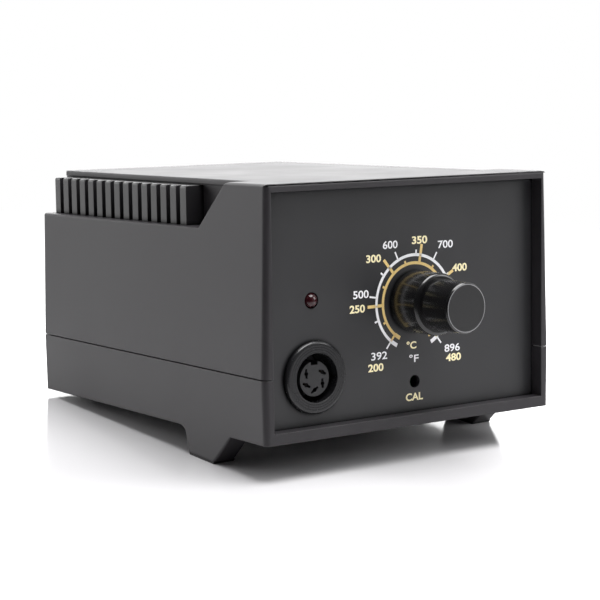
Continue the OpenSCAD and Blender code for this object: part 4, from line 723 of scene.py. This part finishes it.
# Black chromate is a thin, slightly glossy layer that hides the zinc, so it isn't metallic itself.
black_zinc = turned(
    "black chromated zinc, turned", "#1b1b1d", 0.24, middle_of("iron_socket_shell"), pitch_mm=0.8,
    height_mm=0.012,
)
print("knob reaches this far in front of the panel, in mm:", round((panel_face - knob_end) / MM, 1))

# %% [markdown]
# ## A finish for every solid
#
# Most solids keep their shape and only get their finish. The table gives each finish the solids that
# are made of it. The knob has a second finish, for its faced front.

# %% Finishes of the solids
finishes = {
    case_abs: ["upper_cover", "lower_case"],
    smooth_abs: ["vent_grilles"],
    tarnished_brass: ["iron_socket_contacts"],
    panel_sheet: ["front_panel", "rear_panel"],
    polished_phenolic: ["temperature_knob", "switch_rocker"],
    soft_rubber: ["front_foot_pads", "rear_feet"],
    black_nylon: [
        "iron_socket_core", "lamp_spacer", "switch_housing", "inlet_housing", "fuse_drawer",
        "amplifier_chips", "triac",
    ],
    natural_nylon: ["transformer_bobbin", "wire_headers", "calibration_rotor"],
    phenolic_paper: ["potentiometer_wafer"],
    board_laminate: ["control_board"],
    capacitor_sleeve: ["smoothing_capacitors", "calibration_trimmer"],
    dipped_film: ["film_capacitor"],
    resistor_lacquer: ["resistors"],
    lamp_epoxy: ["heater_lamp"],
    zinc_plate: [
        "case_screws", "board_screws", "transformer_screws", "inlet_screws", "inlet_nuts",
        "knob_grub_screw", "potentiometer_nut", "potentiometer_washer", "potentiometer_shaft",
        "potentiometer_can", "iron_socket_nut", "fuse_caps", "lamp_leads",
    ],
    rolled_steel: ["transformer_bracket"],
    core_varnish: ["transformer_core"],
    extruded_aluminium: ["triac_heat_sink"],
    tinned_brass: [
        "transformer_tags", "switch_terminals", "inlet_blades", "earth_ring_tag",
    ],
    winding: ["primary_winding", "secondary_winding"],
    brown_pvc: ["mains_wires"],
    yellow_pvc: ["low_voltage_wires"],
    red_pvc: ["iron_socket_wires"],
    green_pvc: ["earth_wire"],
    fuse_tube: ["fuse_glass"],
    black_zinc: ["iron_socket_shell"],
}
for finish, members in finishes.items():
    for member in members:
        nodes[member].data.materials.clear()
        nodes[member].data.materials.append(finish)
knob_mesh.materials.append(faced_phenolic)
for face in front_faces:
    face.material_index = 1
finished = {member for members in finishes.values() for member in members}
print("solids with a finish:", len(finished), "without:", sorted(set(nodes) - finished))

# %% [markdown]
# ## Widely rounded edges
#
# Round the top of the cover, along the ledge under the fins and down the front feet the case is
# rounder than elsewhere. Two kinds of test find these edges by the place of their two ends, and one
# function rounds the outward edges that pass a test.

# %% Widely rounded edges
# Turn between two faces, in degrees, from which their edge counts as an outward one
OUTWARD_ANGLE = 20
TOP = reach("upper_cover", UPWARD)[1]
LEDGE = reach("vent_grilles", UPWARD)[0]
FOOT = reach("lower_case", UPWARD)[0]
# Two levels that are closer than this are the same
SAME = 0.02 * MM
# Heights over the lowest end of the feet that an upright edge of a foot starts below and ends above
FOOT_START, FOOT_END = 1 * MM, 5 * MM


def lies_in(direction, level):
    """A test for edges that lie in one plane square to a direction."""
    return lambda a, b: max(abs(a.dot(direction) - level), abs(b.dot(direction) - level)) < SAME


def climbs(direction, low, high):
    """A test for edges that start below one level and end above another."""
    def is_climbing(a, b):
        start, end = sorted((a.dot(direction), b.dot(direction)))
        return start < low and end > high
    return is_climbing


def round_edges(form, is_chosen, width_mm):
    """Rounds the outward edges of a form that pass a test, which gets an edge's two ends."""
    chosen = [
        edge for edge in form.edges
        if edge.is_manifold and edge.calc_face_angle_signed() > math.radians(OUTWARD_ANGLE)
        and is_chosen(edge.verts[0].co, edge.verts[1].co)
    ]
    bmesh.ops.bevel(
        form, geom=chosen, offset=width_mm * MM, segments=3, profile=0.5, affect="EDGES",
        clamp_overlap=False, loop_slide=True,
    )
    return len(chosen)


wide_edges_mm = {
    "upper_cover": [(lies_in(UPWARD, TOP), 0.8), (lies_in(UPWARD, LEDGE), 0.8)],
    "lower_case": [(climbs(UPWARD, FOOT + FOOT_START, FOOT + FOOT_END), 0.9)],
}
print("solids with wide edges:", *wide_edges_mm)

# %% [markdown]
# ## Softened edges
#
# A mould never has a knife-sharp edge. The solids of the visible mouldings are copied, their flat
# triangles are joined into whole faces, and a bevel of a fraction of a millimetre goes round every
# edge. The bevels catch the light as thin bright lines, which is what makes a moulding look real.
# Each copy then stands for its solid.

# %% Softened copies
slot_of = {part["node"]: part["material_slot"] for part in record["subparts"]}
# Turn between two faces, in degrees, up to which they are joined and from which their edge is sharp
FLAT_ANGLE, SHARP_ANGLE = 0.4, 28
# Corners that are closer than this are one corner
MERGE_MM = 0.001


def softened(node, width_mm, wide):
    """Makes a copy of a solid with a small bevel along its edges, to be shown in its place."""
    mesh = nodes[node].data.copy()
    form = bmesh.new()
    form.from_mesh(mesh)
    bmesh.ops.remove_doubles(form, verts=form.verts, dist=MERGE_MM * MM)
    bmesh.ops.dissolve_limit(
        form, angle_limit=math.radians(FLAT_ANGLE), verts=form.verts, edges=form.edges,
        use_dissolve_boundaries=False,
    )
    for is_chosen, wide_mm in wide:
        print(node, "edges rounded more widely:", round_edges(form, is_chosen, wide_mm))
    for face in form.faces:
        face.smooth = True
    form.to_mesh(mesh)
    form.free()
    piece = bpy.data.objects.new(f"{node}_softened", mesh)
    bpy.context.scene.collection.objects.link(piece)
    bevel = piece.modifiers.new("softened edges", "BEVEL")
    bevel.width = width_mm * MM
    bevel.segments = 2
    bevel.limit_method = "ANGLE"
    bevel.angle_limit = math.radians(SHARP_ANGLE)
    bevel.miter_outer = "MITER_ARC"
    flat = piece.modifiers.new("flat faces stay flat", "WEIGHTED_NORMAL")
    flat.mode, flat.weight, flat.keep_sharp = "FACE_AREA", 100, False
    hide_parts(node)
    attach(piece, nodes[node]["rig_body"])
    return piece


soft_edges_mm = {
    "upper_cover": 0.3, "lower_case": 0.3, "vent_grilles": 0.3, "switch_housing": 0.25, "switch_rocker": 0.25,
    "inlet_housing": 0.25, "fuse_drawer": 0.15, "iron_socket_core": 0.12, "iron_socket_shell": 0.12,
    "temperature_knob": 0.12,
}
shown = {
    node: softened(node, width_mm, wide_edges_mm.get(node, ())) for node, width_mm in soft_edges_mm.items()
}
print("softened:", len(shown))

# %% [markdown]
# ## Scale of the dial
#
# The scale is screen printed on the panel in two inks. Degrees Celsius are gold, on the inner arc, and
# degrees Fahrenheit are white, on the outer one. Every mark comes from its temperature through one
# function that turns degrees Celsius into a direction, so all ticks keep to the same scale.

# %% Scale of the dial
# Ends of the scale, in degrees Celsius and as directions
COLDEST, HOTTEST = 200, 480
COLDEST_ANGLE, HOTTEST_ANGLE = 231.5, -52.0
# Radius of each arc in mm
WHITE_ARC, GOLD_ARC = 15.9, 13.2
# The screen lay a little low when the panel was printed, as it often does, by this many mm
SCALE_DROP = 0.25


def scale_angle(celsius):
    """Direction of a temperature on the dial, in degrees from the right towards the top."""
    share = (celsius - COLDEST) / (HOTTEST - COLDEST)
    return COLDEST_ANGLE + share * (HOTTEST_ANGLE - COLDEST_ANGLE)


def celsius(fahrenheit):
    """Degrees Celsius of a temperature in degrees Fahrenheit."""
    return (fahrenheit - 32) / 1.8


def polar(radius, angle):
    """Place on the panel at a distance and an angle from the middle of the scale, in mm."""
    return radius * math.cos(math.radians(angle)), radius * math.sin(math.radians(angle)) - SCALE_DROP


print("350 °C stands at", round(scale_angle(350), 1), "degrees")

# %% [markdown]
# ## Inks
#
# Ink that was pressed through a mesh of threads is matt and never quite even: it stands a little
# higher and paler between the threads.

# %% Inks
# The real threads lie about 0.1 mm apart. That is too fine to show, so the mottle is drawn coarser.
MOTTLE_MM = 0.4


def screen_ink(name, shade, pale):
    """Matt ink with the faint mottle that the mesh of the screen leaves."""
    material, tree = start_material(name)
    place = add_node(tree, "TexCoord").outputs["Object"]
    mottle = add_node(tree, "TexNoise", {"Vector": place, "Scale": 1 / (MOTTLE_MM * MM), "Detail": 2})
    base = add_node(tree, "Mix", {
        0: mottle.outputs[0], 6: colour(shade), 7: colour(pale),
    }, data_type="RGBA")
    bump = add_node(tree, "Bump", {
        "Height": mottle.outputs[0], "Strength": 0.2, "Distance": 0.005 * MM,
    })
    shader = add_node(tree, "BsdfPrincipled", {
        "Base Color": base.outputs[2], "Roughness": 0.5, "Normal": bump.outputs[0],
    })
    finish_material(tree, shader)
    return material


gold_ink = screen_ink("gold screen ink", "#e2c074", "#efd694")
pale_gold_ink = screen_ink("pale gold screen ink", "#f8eab4", "#fdf4ce")
white_ink = screen_ink("white screen ink", "#ececee", "#f8f8fa")
print("inks:", gold_ink.name, pale_gold_ink.name, white_ink.name, sep=", ")

# %% [markdown]
# ## Flat shapes of ink
#
# A layer of ink is about 0.02 mm thick. One class collects all shapes of one ink, each point through a
# function that puts it just in front of the printed surface, and makes one piece of them.

# %% Flat shapes of ink
# Height of the ink over its surface, in mm, and turn between two points of an arc, in degrees
INK_HEIGHT, ARC_STEP = 0.03, 3.0


def ink_on_panel(x, z):
    """A point of the ink on the front panel."""
    return on_panel(x, z, INK_HEIGHT)


class Print:
    """Collects flat shapes on a surface and turns them into one piece."""

    def __init__(self, place=ink_on_panel):
        self.form = bmesh.new()
        self.place = place

    def outline(self, points):
        """Adds a flat face through points of the surface."""
        self.form.faces.new([self.form.verts.new(self.place(x, z)) for x, z in points])

    def arc(self, radius, width, start, end):
        """Adds a curved line between two angles."""
        steps = round(abs(end - start) / ARC_STEP)
        angles = [start + (end - start) * i / steps for i in range(steps + 1)]
        for a, b in zip(angles, angles[1:]):
            inner, outer = radius - width / 2, radius + width / 2
            self.outline([polar(inner, a), polar(outer, a), polar(outer, b), polar(inner, b)])

    def tick(self, angle, start, end, width):
        """Adds a straight line that points away from the middle of the dial."""
        (x, z), (u, v) = polar(start, angle), polar(end, angle)
        side_x = width / 2 * math.cos(math.radians(angle + 90))
        side_z = width / 2 * math.sin(math.radians(angle + 90))
        self.outline([
            (x - side_x, z - side_z), (u - side_x, v - side_z),
            (u + side_x, v + side_z), (x + side_x, z + side_z),
        ])

    def words(self, text, left, right, top, bottom, weight):
        """Adds text that fills a box of the panel, bolder with more weight."""
        curve = bpy.data.curves.new("words", "FONT")
        curve.body, curve.offset = text, weight
        holder = bpy.data.objects.new("words", curve)
        bpy.context.scene.collection.objects.link(holder)
        bpy.context.view_layer.update()
        settled = holder.evaluated_get(bpy.context.evaluated_depsgraph_get())
        letters = bpy.data.meshes.new_from_object(settled)
        xs = [v.co.x for v in letters.vertices]
        zs = [v.co.y for v in letters.vertices]
        wide, high = (right - left) / (max(xs) - min(xs)), (top - bottom) / (max(zs) - min(zs))
        for vertex in letters.vertices:
            x, z = left + (vertex.co.x - min(xs)) * wide, bottom + (vertex.co.y - min(zs)) * high
            vertex.co = self.place(x, z)
        self.form.from_mesh(letters)
        bpy.data.objects.remove(holder)
        bpy.data.curves.remove(curve)
        bpy.data.meshes.remove(letters)

    def piece(self, name, ink, body, slot):
        """Makes the piece and lets it ride on a body."""
        mesh = bpy.data.meshes.new(name)
        bmesh.ops.recalc_face_normals(self.form, faces=self.form.faces)
        self.form.to_mesh(mesh)
        self.form.free()
        mesh.materials.append(ink)
        made = bpy.data.objects.new(name, mesh)
        bpy.context.scene.collection.objects.link(made)
        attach(made, body)


print("the ink stands out by, in mm:", INK_HEIGHT)

# %% [markdown]
# ## Arcs and ticks
#
# Each arc ends in a short thick bar. Long gold ticks cross both arcs at the numbers, and short ones
# stand between them. Lengths and widths are in millimetres.

# %% Arcs and ticks
# Line width of the arcs and of the bars at their ends, and turn in degrees that a bar takes up
ARC_WIDTH, BAR_WIDTH, BAR_TURN = 1.0, 1.35, 11
# How far a tick stands out of its arc, or out of both for a long gold one
LONG_TICK, WHITE_TICK, SHORT_GOLD_TICK, SHORT_WHITE_TICK = 3.7, 3.1, 1.3, 1.7
# Line width of the long gold, short gold, long white and short white ticks
WIDE, NARROW_GOLD, NARROW_WHITE, SHORT_WHITE = 1.05, 0.8, 0.6, 0.65
gold, white = Print(), Print()
for ink, radius in ((gold, GOLD_ARC), (white, WHITE_ARC)):
    ink.arc(radius, ARC_WIDTH, HOTTEST_ANGLE, COLDEST_ANGLE)
    ink.arc(radius, BAR_WIDTH, COLDEST_ANGLE, COLDEST_ANGLE + BAR_TURN)
    ink.arc(radius, BAR_WIDTH, HOTTEST_ANGLE - BAR_TURN, HOTTEST_ANGLE)
for warmth in range(250, 451, 50):
    gold.tick(scale_angle(warmth), GOLD_ARC, WHITE_ARC + LONG_TICK, WIDE)
for warmth in (COLDEST, HOTTEST):
    gold.tick(scale_angle(warmth), GOLD_ARC, WHITE_ARC, NARROW_GOLD)
for warmth in range(225, 476, 50):
    gold.tick(scale_angle(warmth), GOLD_ARC, GOLD_ARC + SHORT_GOLD_TICK, NARROW_GOLD)
for warmth in (392, 500, 600, 700, 800, 896):
    white.tick(scale_angle(celsius(warmth)), WHITE_ARC, WHITE_ARC + WHITE_TICK, NARROW_WHITE)
for warmth in range(450, 851, 100):
    white.tick(scale_angle(celsius(warmth)), WHITE_ARC, WHITE_ARC + SHORT_WHITE_TICK, SHORT_WHITE)
print("ticks from", COLDEST, "to", HOTTEST, "°C")

# %% [markdown]
# ## Numbers and letters
#
# Each word is text that is turned into a mesh and stretched to fill a box of the panel. The gold
# numbers are bolder and paler than the arcs, as they were printed in a second pass.

# %% Numbers and letters
LETTER_HEIGHT = 2.65
# How far the outline of the letters is moved out, as a share of their size
GOLD_WEIGHT, WHITE_WEIGHT = 0.03, 0.016
# Left and right edge and middle height of each word, in mm from the middle of the dial
gold_words = {
    "200": (-19.6, -13.2, -21.0), "250": (-27.0, -20.7, -0.8), "300": (-20.0, -13.8, 15.4),
    "350": (-0.7, 5.9, 20.5), "400": (16.8, 23.3, 10.1), "480": (13.8, 20.5, -20.6),
    "°C": (-3.3, 0.9, -14.8), "CAL": (-3.8, 3.6, -32.5),
}
white_words = {
    "392": (-18.3, -11.6, -17.2), "500": (-25.5, -19.1, 3.9), "600": (-13.0, -6.8, 19.6),
    "700": (10.5, 17.1, 18.4), "896": (13.2, 20.0, -17.3), "°F": (-2.2, 1.8, -19.4),
}
gold_letters = Print()
for ink, words, weight in ((gold_letters, gold_words, GOLD_WEIGHT), (white, white_words, WHITE_WEIGHT)):
    for text, (left, right, middle) in words.items():
        ink.words(text, left, right, middle + LETTER_HEIGHT / 2, middle - LETTER_HEIGHT / 2, weight)
case_body = nodes["front_panel"]["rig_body"]
gold.piece("gold_scale", gold_ink, case_body, "panel_plastic")
gold_letters.piece("gold_letters", pale_gold_ink, case_body, "panel_plastic")
white.piece("white_print", white_ink, case_body, "panel_plastic")
print("printed words:", len(gold_words) + len(white_words))

# %% [markdown]
# ## Marks on the rocker
#
# A line and a ring tell on from off. Their points are found by a ray from the right that meets the
# rocker, so the ink follows its bent face.

# %% Marks on the rocker
rocker = nodes["switch_rocker"]
rocker_middle = sum((sum(reach("switch_rocker", way)) / 2 * way for way in (REARWARD, UPWARD)), Vector())
# The rays start this far to the right, in metres, outside the case
RAY_START = 0.2
rocker_tree = BVHTree.FromPolygons(
    [rocker.matrix_world @ vertex.co for vertex in rocker.data.vertices],
    [face.vertices for face in rocker.data.polygons],
)


def ink_on_rocker(x, z):
    """A point of the ink on the rocker, to the rear of and above its middle."""
    start = rocker_middle + MM * (x * REARWARD + z * UPWARD) + RAY_START * ACROSS
    hit, normal, _, _ = rocker_tree.ray_cast(start, -ACROSS)
    return hit + INK_HEIGHT * MM * normal


# Distance from the middle of the rocker, height and line width of the two marks, in mm
MARK_RISE, MARK_SIZE, MARK_LINE = 5.2, 2.6, 0.45
# Faces that the line and the ring are made of
LINE_PARTS, RING_PARTS = 4, 32
marks = Print(ink_on_rocker)
side, rise = MARK_LINE / 2, MARK_SIZE / LINE_PARTS
for i in range(LINE_PARTS):
    low = MARK_RISE - MARK_SIZE / 2 + i * rise
    marks.outline([(-side, low), (side, low), (side, low + rise), (-side, low + rise)])
outer, inner = MARK_SIZE / 2, MARK_SIZE / 2 - MARK_LINE
ring = [math.tau * i / RING_PARTS for i in range(RING_PARTS + 1)]
for a, b in zip(ring, ring[1:]):
    marks.outline([
        (radius * math.cos(turn), radius * math.sin(turn) - MARK_RISE)
        for radius, turn in ((inner, a), (outer, a), (outer, b), (inner, b))
    ])
marks.piece("rocker_marks", white_ink, rocker["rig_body"], slot_of["switch_rocker"])
print("marks on the rocker:", MARK_SIZE, "mm high")

# %% [markdown]
# ## Paint in the knob's pointer line
#
# The groove down the knob's side and in over its shoulder is filled with white. Its faces are the only
# ones of the knob within a narrow strip.

# %% Paint in the knob's pointer line
# Direction of the pointer line, from the right towards the top
POINTER_TURN = math.radians(-1.4)
# The strip, in mm: half its width, its start from the axis, and its lowest and highest point
GROOVE_HALF, GROOVE_IN, GROOVE_LOW, GROOVE_HIGH = 0.46, 8.7, 11.15, 13.85
pointer_way = math.cos(POINTER_TURN) * ACROSS + math.sin(POINTER_TURN) * UPWARD


def is_in_groove(face):
    """Whether a face of the knob lies in the groove down its side and in over its shoulder."""
    out = (face.center - knob_axis) / MM
    return (
        abs(out.dot(pointer_way.cross(REARWARD))) < GROOVE_HALF
        and out.dot(pointer_way) > GROOVE_IN
        and GROOVE_LOW < -out.dot(REARWARD) < GROOVE_HIGH
    )


knob_shown = shown["temperature_knob"].data
painted = [face for face in knob_shown.polygons if is_in_groove(face)]
knob_shown.materials.append(white_ink)
for face in painted:
    face.material_index = 2
print("painted faces of the pointer line:", len(painted))

# %% [markdown]
# ## End

# %% End
print("end of the scene")
